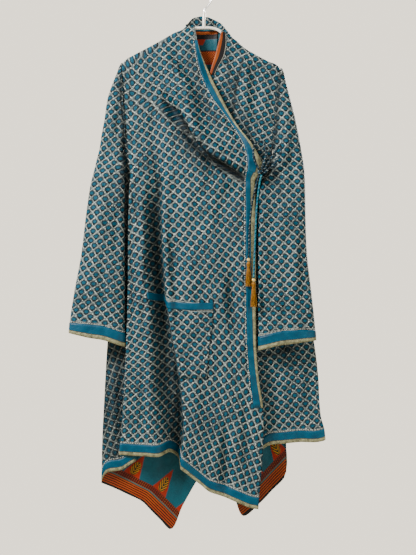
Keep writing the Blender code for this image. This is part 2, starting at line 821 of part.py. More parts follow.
def ball(name, centre, size, squash, material, home, segments=12, rings=8):
    mesh = bpy.data.meshes.new(name)
    shape = bmesh.new()
    bmesh.ops.create_uvsphere(shape, u_segments=segments, v_segments=rings, radius=size / 2 * MM)
    bmesh.ops.scale(shape, verts=shape.verts, vec=squash)
    bmesh.ops.translate(shape, verts=shape.verts, vec=Vector(centre) * MM)
    shape.to_mesh(mesh)
    shape.free()
    mesh.shade_smooth()
    return add_object(name, mesh, material, home)


def make_ties(looks, home):
    ball("tie_knot", TIE_KNOT, TIE_KNOT_SIZE, (1.0, 0.8, 0.95), looks["tie"], home)
    for name, points in TIE_LOOPS.items():
        tube(name, points, TIE_TUBE, looks["tie"], home)
    for letter in "ab":
        route = TIE_ROUTES["tie_cord_" + letter]
        tube("tie_cord_" + letter, route, TIE_TUBE, looks["tie"], home)
        x, y, z = route[-1]
        centre = (x, y, z - BEAD_SIZE / 2 - 0.35)
        ball("bead_" + letter, centre, BEAD_SIZE, (1, 1, 1), looks["bead"], home, 10, 8)
        make_tassel("tassel_" + letter, (x, y, z - BEAD_SIZE - 0.65), looks, home)


def hanger_route():
    """The hanger's shoulder tube: down the arms from a short level bar, below the cloth's folds."""
    drop = CURL_RADIUS * math.hypot(1, SHOULDER_SLOPE)
    right_arm = [(read(SIDES, "right", z), z - drop) for z in (-190, -180, -165, -150, -138)]
    left_arm = [(read(SIDES, "left", z), z - drop) for z in (-155, -165, -176, -190, -204)]
    bar = [(-50, -131), (-27, -121), (0, -118.5), (22, -120), (38, -127), (54, -143)]
    return [(x, 0, z) for x, z in right_arm + bar + left_arm]


def make_hanger(looks, home, spare):
    rail = tube("shoulder_rail", hanger_route(), HANGER_TUBE, looks["plastic"], spare, 1.98)
    bpy.context.view_layer.update()
    seen = bpy.context.evaluated_depsgraph_get()
    mesh = bpy.data.meshes.new_from_object(rail.evaluated_get(seen))
    shape = bmesh.new()
    shape.from_mesh(mesh)
    bmesh.ops.remove_doubles(shape, verts=shape.verts, dist=0.01 * MM)
    shape.to_mesh(mesh)
    shape.free()
    bpy.data.objects.remove(rail, do_unlink=True)
    body = add_object("hanger", mesh, looks["plastic"], home)

    stem_mesh = bpy.data.meshes.new("hanger_stem")
    shape = bmesh.new()
    bmesh.ops.create_cone(
        shape, cap_ends=True, segments=16, radius1=STEM_TUBE / 2 * MM, radius2=STEM_TUBE / 2 * MM,
        depth=(STEM_TOP - STEM_FOOT) * MM,
    )
    bmesh.ops.translate(shape, verts=shape.verts, vec=(0, 0, (STEM_TOP + STEM_FOOT) / 2 * MM))
    shape.to_mesh(stem_mesh)
    shape.free()
    stem = add_object("hanger_stem", stem_mesh, looks["plastic"], spare)
    stem.hide_render = True
    stem.display_type = "WIRE"
    join = body.modifiers.new("stem", "BOOLEAN")
    join.operation = "UNION"
    join.object = stem

    centre = HOOK_WIRE / 2 - HOOK_RADIUS
    arc = []
    for step in range(15):
        turn = math.radians(200 - step * 15)
        arc.append((HOOK_RADIUS * math.cos(turn), 0, centre + HOOK_RADIUS * math.sin(turn)))
    down = [(21, 0, -36), (17, 0, -54), (9.5, 0, -67), (2, 0, -75), (0, 0, -79.5), (0, 0, -83.6)]
    tube("hook", arc + down, HOOK_WIRE, looks["wire"], home)


def build():
    clear_scene()
    home = bpy.data.collections.new(COLLECTION_NAME)
    spare = bpy.data.collections.new("cutters")
    bpy.context.scene.collection.children.link(home)
    bpy.context.scene.collection.children.link(spare)
    looks = {
        "print": finish("printed_silk", (0.13, 0.30, 0.36)),
        "border": finish("border_silk", (0.0, 0.20, 0.38), 0.6),
        "lining": finish("lining_silk", (0.55, 0.12, 0.02), 0.7),
        "tie": finish("tie_silk", (0.05, 0.16, 0.20), 0.7),
        "tassel": finish("tassel_thread", (0.60, 0.22, 0.02), 0.8),
        "bead": finish("bead", (0.85, 0.65, 0.20), 0.3, 0.4),
        "plastic": finish("hanger_plastic", (0.80, 0.77, 0.68), 0.45),
        "wire": finish("hook_wire", (0.70, 0.70, 0.70), 0.2, 1.0),
    }
    make_hanger(looks, home, spare)
    make_back(looks, home)
    make_fronts(looks, home)
    make_sleeve("sleeve_right", RIGHT_SLEEVE, "right", looks, home)
    make_sleeve("sleeve_left", LEFT_SLEEVE, "left", looks, home)
    make_ties(looks, home)


build()
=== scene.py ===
import math

import bmesh
import bpy
import numpy as np
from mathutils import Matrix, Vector, noise


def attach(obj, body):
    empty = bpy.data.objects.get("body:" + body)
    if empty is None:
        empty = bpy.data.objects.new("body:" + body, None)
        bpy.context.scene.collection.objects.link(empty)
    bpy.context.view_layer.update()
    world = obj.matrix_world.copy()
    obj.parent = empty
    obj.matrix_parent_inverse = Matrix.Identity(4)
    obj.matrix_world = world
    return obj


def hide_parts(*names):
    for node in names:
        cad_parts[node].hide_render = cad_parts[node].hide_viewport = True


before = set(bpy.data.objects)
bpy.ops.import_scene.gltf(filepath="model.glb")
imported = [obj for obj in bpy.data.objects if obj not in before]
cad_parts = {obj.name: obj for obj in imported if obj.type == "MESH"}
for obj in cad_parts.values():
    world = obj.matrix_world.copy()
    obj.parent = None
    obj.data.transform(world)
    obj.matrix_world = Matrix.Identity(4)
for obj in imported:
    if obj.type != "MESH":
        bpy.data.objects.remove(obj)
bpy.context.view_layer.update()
mm = 0.001
root = "root"


def linked(name, data):  # a new object in the scene, unturned at the origin
    item = bpy.data.objects.new(name, data)
    bpy.context.scene.collection.objects.link(item)
    return item


# Camera, level with the middle of the robe, as the photo seems to be taken
cameraView = dict(aimX=9, aimZ=-693, distance=2200, lens=62, sensor=36)


def addCamera():
    lens = bpy.data.cameras.new("photoCamera")
    lens.lens = cameraView["lens"]
    lens.sensor_fit = "VERTICAL"
    lens.sensor_height = cameraView["sensor"]
    camera = linked("photoCamera", lens)
    camera.location = (cameraView["aimX"] * mm, -cameraView["distance"] * mm, cameraView["aimZ"] * mm)
    camera.rotation_euler = (math.pi / 2, 0, 0)
    bpy.context.scene.camera = camera


addCamera()
print("camera set")


# Shader maths: a socket that takes part in Python arithmetic
class Field:
    def __init__(self, look, socket):
        self.look = look
        self.socket = socket

    def math(self, operation, *others, clamp=False):
        values = dict(enumerate([self, *others]))
        return self.look.node("ShaderNodeMath", dict(operation=operation, use_clamp=clamp), values)

    def __add__(self, other):
        return self.math("ADD", other)

    __radd__ = __add__

    def __sub__(self, other):
        return self.math("SUBTRACT", other)

    def __rsub__(self, other):
        return self.look.node("ShaderNodeMath", dict(operation="SUBTRACT"), {0: other, 1: self})

    def __mul__(self, other):
        return self.math("MULTIPLY", other)

    __rmul__ = __mul__

    def __truediv__(self, other):
        return self.math("DIVIDE", other)

    def __abs__(self):
        return self.math("ABSOLUTE")

    def above(self, limit, softness=0.0):  # 1 where the value is past the limit, with a soft edge
        if softness == 0:
            return self.math("GREATER_THAN", limit)
        return ((self - (limit - softness / 2)) / softness).math("ADD", 0.0, clamp=True)

    def below(self, limit, softness=0.0):
        return 1 - self.above(limit, softness)

    def within(self, low, high, softness=0.0):
        return self.above(low, softness) * self.below(high, softness)


# A material with one Principled shader and the few nodes that feed it
class Look:
    def __init__(self, name, roughness=0.6, metallic=0.0, coat=0.0, specular=0.5):
        self.material = bpy.data.materials.new(name)
        self.material.use_nodes = True
        self.tree = self.material.node_tree
        self.shader = self.tree.nodes["Principled BSDF"]
        constants = {"Roughness": roughness, "Metallic": metallic, "Coat Weight": coat,
                     "Specular IOR Level": specular}
        for key, value in constants.items():
            self.shader.inputs[key].default_value = value

    def node(self, kind, settings=None, sockets=None, out=0):
        made = self.tree.nodes.new(kind)
        for key, value in (settings or {}).items():
            if key == "stops":
                ramp = made.color_ramp
                ramp.elements[1].position = value[-1][0]
                for place, _ in value[1:-1]:
                    ramp.elements.new(place)
                for stop, (_, grey) in zip(ramp.elements, value):
                    stop.color = (grey, grey, grey, 1)
            else:
                setattr(made, key, value)
        for key, value in (sockets or {}).items():
            socket = made.inputs[key]
            if isinstance(value, Field):
                self.tree.links.new(value.socket, socket)
            elif hasattr(value, "__len__") and len(value) == 3 and len(socket.default_value) == 4:
                socket.default_value = (*value, 1)
            else:
                socket.default_value = value
        return Field(self, made.outputs[out])

    def mix(self, factor, first, second):
        sockets = {0: factor, 6: first, 7: second}
        return self.node("ShaderNodeMix", dict(data_type="RGBA"), sockets, out=2)

    def split(self, vector):
        apart = self.node("ShaderNodeSeparateXYZ", None, {0: vector}).socket.node
        return [Field(self, socket) for socket in apart.outputs]

    def uv(self, name):
        return self.node("ShaderNodeUVMap", dict(uv_map=name))

    def place(self):
        return self.node("ShaderNodeTexCoord", out=3)

    def noise(self, vector, scale, detail=2.0, roughness=0.5):
        sockets = {"Vector": vector, "Scale": scale, "Detail": detail, "Roughness": roughness}
        return self.node("ShaderNodeTexNoise", None, sockets)

    def colour(self, value):
        self.tree.links.new(value.socket, self.shader.inputs["Base Color"])

    def rough(self, value):
        self.tree.links.new(value.socket, self.shader.inputs["Roughness"])

    def bump(self, height, distance, strength):
        sockets = {"Height": height, "Distance": distance, "Strength": strength}
        bump = self.node("ShaderNodeBump", None, sockets)
        self.tree.links.new(bump.socket, self.shader.inputs["Normal"])


# Printed silk: rows of pointed shields in a pale net, each row half a step along. Sizes in millimetres.
printSizes = dict(
    alongPitch=21.0, acrossPitch=22.0, reach=10.1, wobble=1.6, edging=6.5, dotsAlong=3.4, dotsAcross=3.2,
    weave=0.9,
)
silkColours = dict(
    # bright: a painted highlight on pale flecks of the net
    net=(0.078, 0.093, 0.09), netDim=(0.019, 0.026, 0.028), bright=(0.17, 0.184, 0.17),
    ground=(0.006, 0.0095, 0.0115), groundLight=(0.03, 0.04, 0.042), teal=(0.0, 0.0075, 0.0145),
    tealLight=(0.0, 0.0195, 0.034), navy=(0.0, 0.0008, 0.0015), speck=(0.003, 0.003, 0.0035),
    thread=(0.16, 0.165, 0.155), border=(0.0, 0.01, 0.021), borderLight=(0.0, 0.02, 0.037),
    selvedge=(0.1, 0.098, 0.056), selvedgeDark=(0.02, 0.02, 0.012), cord=(0.0, 0.036, 0.05),
    # hollow: the near-black painted shade laid into hollows, along seams and under folds
    hollow=(0.0, 0.0005, 0.0009),
)
selvedgeFrom = 0.68  # the plain part's share of a border's width, before its ribbed selvedge
ribPitch = 2.1  # from one rib of the selvedge to the next


def ribs(along):
    return (along * (2 * math.pi / ribPitch)).math("SINE")


def borderColour(look, along, across):  # plain teal silk, a navy line and a ribbed cream selvedge
    c = silkColours
    shade = look.noise(look.place(), 55, 3)
    teal = look.mix(shade.above(0.5, 0.5), c["border"], c["borderLight"])
    patch = look.noise(look.place(), 140, 2)
    cream = look.mix((ribs(along) * 0.22 + patch).above(0.5, 0.35), c["selvedgeDark"], c["selvedge"])
    line = across.within(selvedgeFrom - 0.025, selvedgeFrom + 0.02, 0.02)
    return look.mix(across.above(selvedgeFrom - 0.02, 0.02), teal, look.mix(line, cream, c["navy"]))


def printedSilk(name):
    look = Look(name, roughness=0.52, specular=0.05)
    c, s = silkColours, printSizes
    cloth = look.uv("cloth")
    along, across, _ = look.split(cloth)
    drift = look.noise(cloth, 34, 1) - 0.5
    sway = look.noise(cloth, 47, 1) - 0.5
    along = along * 1000 + drift * s["wobble"] * 2
    across = across * 1000 + sway * s["wobble"] * 2
    halfAlong, halfAcross = s["alongPitch"] / 2, s["acrossPitch"] / 2
    cellAlong = ((along / s["alongPitch"]).math("FRACT") - 0.5) * s["alongPitch"]
    cellAcross = ((across / s["acrossPitch"]).math("FRACT") - 0.5) * s["acrossPitch"]
    moved = (abs(cellAlong) / halfAlong + abs(cellAcross) / halfAcross).above(1)
    cellAlong = cellAlong - cellAlong.math("SIGN") * moved * halfAlong
    cellAcross = cellAcross - cellAcross.math("SIGN") * moved * halfAcross
    ring = abs(cellAlong) / halfAlong + abs(cellAcross) / halfAcross
    away = (cellAlong * cellAlong + cellAcross * cellAcross).math("SQRT")
    turn = abs(cellAcross).math("ARCTAN2", cellAlong) / math.pi
    outline = look.node("ShaderNodeValToRGB", dict(stops=[
        (0.0, 0.84), (0.1, 0.68), (0.25, 0.56), (0.45, 0.58), (0.68, 0.60), (0.82, 0.54), (1.0, 0.46),
    ]), {0: turn})
    inside = outline * s["reach"] - away
    grain = look.noise(cloth, 900, 2, 0.7)
    cloud = look.noise(cloth, 14, 2)
    fleck = look.noise(cloth, 300, 2)
    ground = look.mix((grain + cloud * 0.6).above(0.8, 0.3), c["ground"], c["groundLight"])
    # The net's threads vary from dim to pale by noise: partly the thread's own uneven tone, partly painted
    # highlights of crumpled silk
    strand = look.mix((grain * 0.5 + fleck * 0.7 + cloud * 0.5).above(0.86, 0.3), c["netDim"], c["net"])
    strand = look.mix(fleck.above(0.6, 0.12), strand, c["bright"])
    colour = look.mix((ring + fleck * 0.25).above(0.97, 0.14), ground, strand)
    colour = look.mix(grain.above(0.62, 0.04) * 0.7, colour, c["speck"])
    colour = look.mix(inside.above(-0.4, 0.9), colour, c["navy"])
    bright = look.noise(cloth, 120, 2)
    teal = look.mix((inside / 4.5 + bright - 0.5).above(0.55, 0.7), c["teal"], c["tealLight"])
    heart = inside.above(0.9, 0.7) * cellAlong.below(3.8, 1.6)
    colour = look.mix(heart, colour, teal)

    edgeDistance, hemDistance, _ = look.split(look.uv("borders"))
    edgeDistance, hemDistance = edgeDistance * 1000, hemDistance * 1000
    nearest = edgeDistance.math("MINIMUM", hemDistance)
    beside = edgeDistance.math("MAXIMUM", hemDistance)
    checker = (beside * (2 * math.pi / s["dotsAlong"])).math("SINE")
    checker = checker + (nearest * (2 * math.pi / s["dotsAcross"])).math("SINE") * 0.6
    dots = look.mix((checker * 0.5 + fleck).above(0.7, 0.5), c["speck"], c["net"])
    colour = look.mix(nearest.below(s["edging"] - 1.6, 1.0) * 0.88, colour, dots)
    # Painted shade: the colour is darkened towards near-black by the piece's painted-shade map
    hollow = look.split(look.uv("hollows"))[0]
    look.colour(look.mix(hollow * 0.94, colour, c["hollow"]))
    turns = 2 * math.pi / s["weave"]
    weave = (along * turns).math("SINE") + (across * turns).math("SINE")
    crumple = look.noise(cloth, 70, 4, 0.6) * 6 + look.noise(cloth, 24, 2) * 12
    look.bump(crumple + weave * 0.12 + grain * 0.3, 0.0008, 0.9)
    look.rough(grain * 0.16 + 0.46)
    return look.material


def borderSilk(name):
    look = Look(name, roughness=0.5, specular=0.06)
    along, across, _ = look.split(look.uv("cloth"))
    along = along * 1000
    look.colour(borderColour(look, along, across))
    rib = ribs(along) * across.above(selvedgeFrom, 0.03)
    slub = look.noise(look.place(), 260, 3)
    look.bump(rib * 0.6 + slub * 1.2 + look.noise(look.place(), 60, 2) * 4, 0.0005, 0.7)
    look.rough(slub * 0.2 + 0.38)
    return look.material


# The figured lining: a striped edge, a dotted strip, then red steps with a leaf in each on teal
liningSizes = dict(
    black=5, stripes=29, line=32, strip=44, rise=58, base=20, repeat=76, first=0.5, step=3.2, stripe=5.0,
    dashAlong=5.2, dashAcross=4.6, leafUp=19,
)
liningColours = dict(
    black=(0.0008, 0.0005, 0.0008), orange=(0.1, 0.019, 0.0005), rust=(0.007, 0.0008, 0.0),
    line=(0.016, 0.022, 0.02), red=(0.062, 0.003, 0.0), wine=(0.011, 0.0006, 0.0),
    gold=(0.12, 0.05, 0.001), ember=(0.036, 0.0034, 0.0), facing=(0.062, 0.0125, 0.0),
    leaf=(0.001, 0.0045, 0.0016), teal=(0.0, 0.021, 0.03), tealDark=(0.0, 0.012, 0.018),
)


def slubbed(look, creases, swell, roughness):  # the fine slubs and slow creases of a lining
    slub = look.noise(look.place(), 500, 3)
    look.bump(slub + look.noise(look.place(), creases, 3) * swell, 0.0005, 0.7)
    look.rough(slub * 0.25 + roughness)


def figuredLining(name):
    look = Look(name, roughness=0.55, specular=0.06)
    c, s = liningColours, liningSizes
    along, height, _ = look.split(look.uv("cloth"))
    sway = look.noise(look.uv("cloth"), 60, 2) - 0.5
    along, height = along * 1000 + sway * 2, height * 1000 + sway * 2.2
    ground = look.mix(look.noise(look.place(), 36, 4).above(0.5, 0.5), c["tealDark"], c["teal"])
    rise = height - s["strip"]
    stepped = (rise / s["step"]).math("FLOOR") * s["step"]
    cell = ((along / s["repeat"] - s["first"]).math("FRACT") - 0.5) * s["repeat"]
    inside = (1 - stepped / s["rise"]) * s["base"] - abs(cell)
    temple = inside.above(0, 0.5) * rise.within(0, s["rise"])
    colour = look.mix(temple, ground, c["red"])
    fromLeaf = rise - s["leafUp"]
    leafAway = (cell * cell) / 95 + fromLeaf * fromLeaf / 300
    frond = ((rise * 0.8 - abs(cell) * 1.3) / 6.4).math("FRACT").within(0.2, 0.62, 0.12)
    leaf = look.mix(frond * abs(cell).above(0.7, 0.4), c["leaf"], c["gold"])
    colour = look.mix(leafAway.below(1, 0.25) * temple, colour, leaf)
    thread = (height / s["stripe"]).math("FRACT").above(0.5, 0.14)
    fade = look.noise(look.place(), 25, 2)
    stripes = look.mix(thread, look.mix(fade, c["orange"], c["red"]), c["rust"])
    dash = (along / s["dashAlong"]).math("FRACT").within(0.3, 0.75, 0.15)
    dash = dash * (rise / s["dashAcross"]).math("FRACT").within(0.25, 0.8, 0.2)
    strip = look.mix(dash * 0.6, c["wine"], look.mix(fade.above(0.5, 0.3), c["red"], c["orange"]))
    colour = look.mix(height.below(s["strip"], 0.8), colour, strip)
    colour = look.mix(height.below(s["line"], 0.8), colour, c["line"])
    colour = look.mix(height.below(s["stripes"], 0.8), colour, stripes)
    colour = look.mix(height.below(s["black"], 1.0), colour, c["black"])
    look.colour(colour)
    slubbed(look, 70, 5, 0.42)
    return look.material


# Inside the neck: the lining's crosswise bands, from the top, in millimetres down from the collar seam
neckBands = (
    (0.0, "black"), (2, "orange"), (9, "black"), (20, "red"), (34, "tealDark"), (46, "black"), (49, "ember"),
    (75, "red"), (79, "teal"), (92, "wine"),
)
neckFigures = dict(
    patchFrom=39, patchSlant=0.43, patchRows=(20, 46), hatch=5.6, hatchRows=(49, 75), thread=3.1,
    threadRows=(2, 9),
)


def neckLiningSilk(name):
    look = Look(name, roughness=0.55, specular=0.06)
    c, s = liningColours, neckFigures
    across, depth, _ = look.split(look.uv("cloth"))
    sway = look.noise(look.place(), 70, 2) - 0.5
    across, depth = across * 1000, depth * 1000 + sway * 3
    colour = look.mix(0.0, c[neckBands[0][1]], c[neckBands[0][1]])
    for start, shade in neckBands[1:]:
        colour = look.mix(depth.above(start, 0.8), colour, c[shade])
    patch = (across + depth * s["patchSlant"]).above(s["patchFrom"], 1.5)
    patch = patch * depth.within(*s["patchRows"], 1.5)
    colour = look.mix(patch, colour, look.mix(look.noise(look.place(), 60, 2), c["tealDark"], c["teal"]))
    hatch = ((across + depth) / s["hatch"]).math("FRACT").above(0.5, 0.3)
    hatch = hatch * ((across - depth) / s["hatch"]).math("FRACT").above(0.35, 0.3)
    colour = look.mix(hatch * depth.within(*s["hatchRows"], 0.8), colour, c["orange"])
    thread = (depth / s["thread"]).math("FRACT").above(0.6, 0.3) * depth.within(*s["threadRows"], 0.5)
    look.colour(look.mix(thread, colour, c["rust"]))
    slubbed(look, 90, 4, 0.45)
    return look.material


facingEdges = dict(black=0.42, pale=0.94)  # where each stripe starts, as a share of the width


def facingSilk(name):  # the turned-out edge: an orange stripe, a black one and a thin pale line
    look = Look(name, roughness=0.5, specular=0.06)
    c = liningColours
    across = look.split(look.uv("cloth"))[1]
    fade = look.noise(look.place(), 60, 2)
    orange = look.mix(fade.above(0.5, 0.4), c["facing"], c["ember"])
    colour = look.mix(across.above(facingEdges["black"], 0.03), orange, c["black"])
    look.colour(look.mix(across.above(facingEdges["pale"], 0.02), colour, silkColours["thread"]))
    slub = look.noise(look.place(), 420, 3)
    look.bump(slub, 0.0004, 0.6)
    look.rough(slub * 0.25 + 0.4)
    return look.material


cordTwist = 9  # millimetres of cord to one turn of the print


def cordSilk(name, light):  # a strip of the print rolled into a cord, so its figures run in a spiral
    look = Look(name, roughness=0.55, specular=0.06)
    c = silkColours
    along, around, _ = look.split(look.uv("cloth"))
    twist = (along * 1000 / cordTwist + around).math("FRACT")
    patch = look.noise(look.place(), 130, 2)
    silk = (c["borderLight"], c["cord"]) if light else (c["navy"], c["teal"])
    silk = look.mix(patch.above(0.5, 0.2), *silk)
    figures = twist.within(0.15, 0.36, 0.1) * look.noise(look.place(), 210, 1).above(0.5, 0.1)
    look.colour(look.mix(figures * (0.25 if light else 0.6), silk, c["net"]))
    ridge = (twist * 2 * math.pi).math("SINE")
    look.bump(ridge * 2 + look.noise(look.place(), 900, 2), 0.0004, 0.7)
    look.rough(patch * 0.2 + 0.45)
    return look.material


def tasselThread(name):
    look = Look(name, roughness=0.5, specular=0.08)
    place = look.place()
    x, y, z = look.split(place)
    strand = look.noise(look.node("ShaderNodeCombineXYZ", None, {0: x, 1: y, 2: z * 0.05}), 1500, 2)
    look.colour(look.mix(strand.above(0.5, 0.3), (0.032, 0.0105, 0.0), (0.1, 0.044, 0.0)))
    look.bump(strand, 0.0003, 0.6)
    look.rough(strand * 0.3 + 0.35)
    return look.material


def paleBead(name):
    look = Look(name, roughness=0.3, coat=0.4)
    cloud = look.noise(look.place(), 420, 2)
    look.colour(look.mix(cloud.above(0.5, 0.4), (0.09, 0.052, 0.004), (0.2, 0.14, 0.03)))
    look.rough(cloud * 0.2 + 0.2)
    return look.material


def agedPlastic(name):
    look = Look(name, roughness=0.4, specular=0.5)
    cloud = look.noise(look.place(), 60, 3)
    scuff = look.noise(look.place(), 700, 3, 0.7)
    look.colour(look.mix(cloud.above(0.5, 0.6), (0.18, 0.17, 0.15), (0.24, 0.23, 0.21)))
    look.bump(scuff, 0.0001, 0.4)
    look.rough(scuff * 0.25 + 0.28)
    return look.material


def brightWire(name):
    look = Look(name, roughness=0.22, metallic=1.0)
    x, y, z = look.split(look.place())
    drawn = look.noise(look.node("ShaderNodeCombineXYZ", None, {0: x * 6, 1: y * 6, 2: z * 0.3}), 900, 2)
    look.colour(look.mix(drawn.above(0.5, 0.5), (0.26, 0.26, 0.27), (0.42, 0.42, 0.42)))
    look.rough(drawn * 0.22 + 0.12)
    return look.material


looks = dict(
    print=printedSilk("printedSilk"), border=borderSilk("borderSilk"), lining=figuredLining("figuredLining"),
    neck=neckLiningSilk("neckLiningSilk"), facing=facingSilk("facingSilk"),
    darkCord=cordSilk("darkCordSilk", False), lightCord=cordSilk("lightCordSilk", True),
    tassel=tasselThread("tasselThread"), bead=paleBead("paleBead"), plastic=agedPlastic("agedPlastic"),
    wire=brightWire("brightWire"),
)
thread = Look("stitchThread", roughness=0.6, specular=0.1)
thread.colour(thread.mix(thread.noise(thread.place(), 800, 2), (0.13, 0.13, 0.12), (0.22, 0.22, 0.2)))
looks["thread"] = thread.material
backing = Look("plainLiningSilk", roughness=0.6, specular=0.06)
backingCloud = backing.noise(backing.place(), 30, 3)
backing.colour(backing.mix(backingCloud, liningColours["tealDark"], liningColours["teal"]))
backing.bump(backing.noise(backing.place(), 60, 3), 0.002, 0.6)
looks["liningBack"] = backing.material
plain = Look("studioFloor", roughness=0.9)
plain.colour(plain.mix(plain.noise(plain.place(), 3, 2), (0.5, 0.46, 0.38), (0.54, 0.5, 0.42)))
looks["floor"] = plain.material
print("finishes made")


# Rows of numbers in millimetres, each value filed under its column's name
def table(columns, *rows):
    names = columns.split()
    return {name: [row[place] for row in rows] for place, name in enumerate(names)}


sleeveSeamLift = 2.35
neckLiningLift = 2.9
hookRadius = 22.0
hookWire = 3.8
curlRadius = 5.8
shoulderSlope = 0.55
stemTop = -84.0
stemFoot = -119.0
hemBand = 26.0
cuffBand = 25.0
tieTube = 4.4
beadSize = 9.0
tasselLength = 56.0

# Heights run down from the hook, so every table is read from its top row downwards.
# Where the shoulders, armholes and side seams run, seen from the front.
sides = table(
    "height right left",
    (-112, -38, 42),
    (-122, -48, 50),
    (-130, -67, 57),
    (-140, -85, 64),
    (-150, -102, 76),
    (-170, -139, 99),
    (-182, -162, 121),
    (-196, -184, 147),
    (-209, -189, 172),
    (-221, -190, 174),
    (-281, -190, 169),
    (-340, -186, 165),
    (-400, -184, 158),
    (-420, -184, 154),
    (-500, -190, 172),
    (-600, -201, 198),
    (-842, -223, 254),
    (-925, -228, 264),
    (-1003, -232, 268),
    (-1060, -235, 280),
    (-1168, -237, 281),
)

# How far the cloth stands from the hanger's plane at the armholes, and then at the side seams.
sideDepths = table(
    "height front back",
    (-112, 8, 8),
    (-370, 8, 8),
    (-420, 1, 1),
    (-470, -4, 6.6),
    (-520, -8, 10.4),
    (-860, -9, 11.5),
    (-1000, -7, 11.5),
    (-1168, -7, 11.5),
)

# The overlapping right front, by landmarks across it at each height.
rightFrontX = table(
    "height tuck pleatLeft pleatRight valley ridge middle band edge",
    (-115, -34, -33, -31, -30, -28, -26, -24, -22),
    (-130, -54, -50, -46, -41, -37, -30, -23, -19),
    (-150, -84, -76, -68, -60, -52, -38, -22, -15),
    (-179, -128, -112, -98, -86, -76, -50, -17, -8),
    (-196, -158, -142, -124, -108, -92, -55, -15, -3),
    (-238, -166, -148, -128, -112, -90, -48, -3, 20),
    (-306, -168, -150, -130, -114, -88, -30, 35, 51),
    (-361, -168, -152, -132, -116, -84, -15, 76, 86),
    (-416, -170, -156, -136, -110, -82, 8, 99, 124),
    (-446, -171, -160, -138, -102, -86, 12, 101, 133),
    (-474, -173, -166, -140, -98, -90, 14, 95, 116),
    (-560, -174, -172, -142, -100, -94, 16, 95, 117),
    (-680, -174, -173, -138, -96, -90, 18, 95, 118),
    (-760, -172, -174, -128, -86, -80, 22, 96, 118),
    (-850, -168, -177, -120, -70, -64, 12, 99, 119),
    (-925, -163, -180, -116, -58, -52, 6, 105, 125),
    (-1003, -160, -184, -110, -52, -46, 8, 114, 136),
    (-1042, -158, -187, -107, -50, -44, 9, 117, 139),
    (-1100, -156, -192, -104, -56, -50, 10, 113, 133),
    (-1230, -154, -194, -102, -60, -54, 12, 102, 123),
)

# How far each landmark of the right front stands forward of the hanger's plane.
rightFrontForward = table(
    "height tuck pleatLeft pleatRight valley ridge middle band edge",
    (-115, 4, 5, 5, 6, 6, 7, 7, 7),
    (-150, 7, 7, 8, 8, 9, 10, 10, 10),
    (-200, 9, 10, 10, 9, 11, 12, 13, 14),
    (-300, 10, 13, 13, 10, 20, 22, 20, 20),
    (-400, 8, 15, 14, 10, 20, 32, 34, 36),
    (-460, 5, 18, 16, 4, 20, 26, 34, 36),
    (-520, 3, 21, 19, -2, 20, 25, 24, 23),
    (-700, 2, 24, 21, -7, 22, 26, 25, 23),
    (-900, -2, 29, 27, -10, 28, 26, 24, 23),
    (-1100, -4, 30, 31, -12, 34, 24, 22, 21),
    (-1230, -4, 30, 31, -12, 34, 24, 22, 21),
)

rightFrontHem = dict(
    side=-1168, tuck=-1114, pleatLeft=-1096, pleatRight=-1100, valley=-1114,
    ridge=-1128, middle=-1180, band=-1217, edge=-1221,
)

# Columns of cloth between one landmark and the next, from the side seam to the front edge.
rightFrontSpans = dict(tuck=5, pleatLeft=3, pleatRight=3, valley=2, ridge=3, middle=4, band=5, edge=1)
# Its grid rows: level at the top, along the chest drape's ridge, level again, then out to the hem.
topRows = (-115.2, -122, -130, -140, -150, -162)
sharesToCowl = (0.25, 0.5, 0.75)
cowlOffsets = (60, 40, 24, 11, 2, -6, -14)
sharesBelowCowl = (0.17, 0.345, 0.45, 0.52, 0.61, 0.71, 0.86)
lowerRows = (-560, -640, -720, -795, -860, -925, -990)
fanRows = 3
neckBandRows = (4, 12.5)
edgeBandRows = (12.5, 29)

# The left front lies beneath, and shows at the chest and below the left sleeve.
leftFrontX = table(
    "height edge band middle",
    (-112, 39, 41, 41),
    (-122, 40, 45, 46),
    (-130, 39, 48, 52),
    (-150, 34, 51, 60),
    (-180, 26, 47, 78),
    (-221, 14, 27, 96),
    (-260, 6, 16, 96),
    (-300, 2, 12, 98),
    (-500, 2, 22, 104),
    (-1000, 30, 54, 150),
    (-1200, 36, 60, 156),
)
leftFrontForward = table(
    "height edge band middle",
    (-112, 3, 2, 1),
    (-122, 5, 4, 3),
    (-130, 6, 5, 5),
    (-150, 7, 7, 7),
    (-221, 8, 9, 11),
    (-300, 6, 7, 12),
    (-400, 4, 4, 8),
    (-460, 3, 3, -1),
    (-520, 2, 2, -4),
    (-900, 3, 3, -3),
    (-1200, 5, 5, 3),
)
leftFrontHem = dict(edge=-1140, band=-1132, middle=-1078, side=-1067)
leftFrontSpans = dict(band=1, middle=4, side=6)
leftFrontRows = (
    -115.2, -122, -130, -140, -150, -165, -182, -196, -209, -228, -252, -281, -330, -370, -400,
    -420, -445, -475, -520, -600, -690, -780, -860, -925, -990,
)

# The back's hem: two hanging corners with a high point between them, hidden by the front.
backHem = table(
    "share height span",
    (0.00, -1168, 0),
    (0.18, -1213, 3),
    (0.303, -1278, 3),
    (0.42, -1170, 2),
    (0.505, -1100, 2),
    (0.633, -1247, 3),
    (0.71, -1216, 1),
    (0.817, -1159, 2),
    (0.845, -1068, 1),
    (1.00, -1062, 3),
)
backRows = (
    -115.2, -122, -130, -140, -150, -165, -182, -196, -209, -221, -243, -281, -330, -370, -400,
    -420, -445, -475, -520, -600, -720, -860, -990,
)
liningTopRow = 22

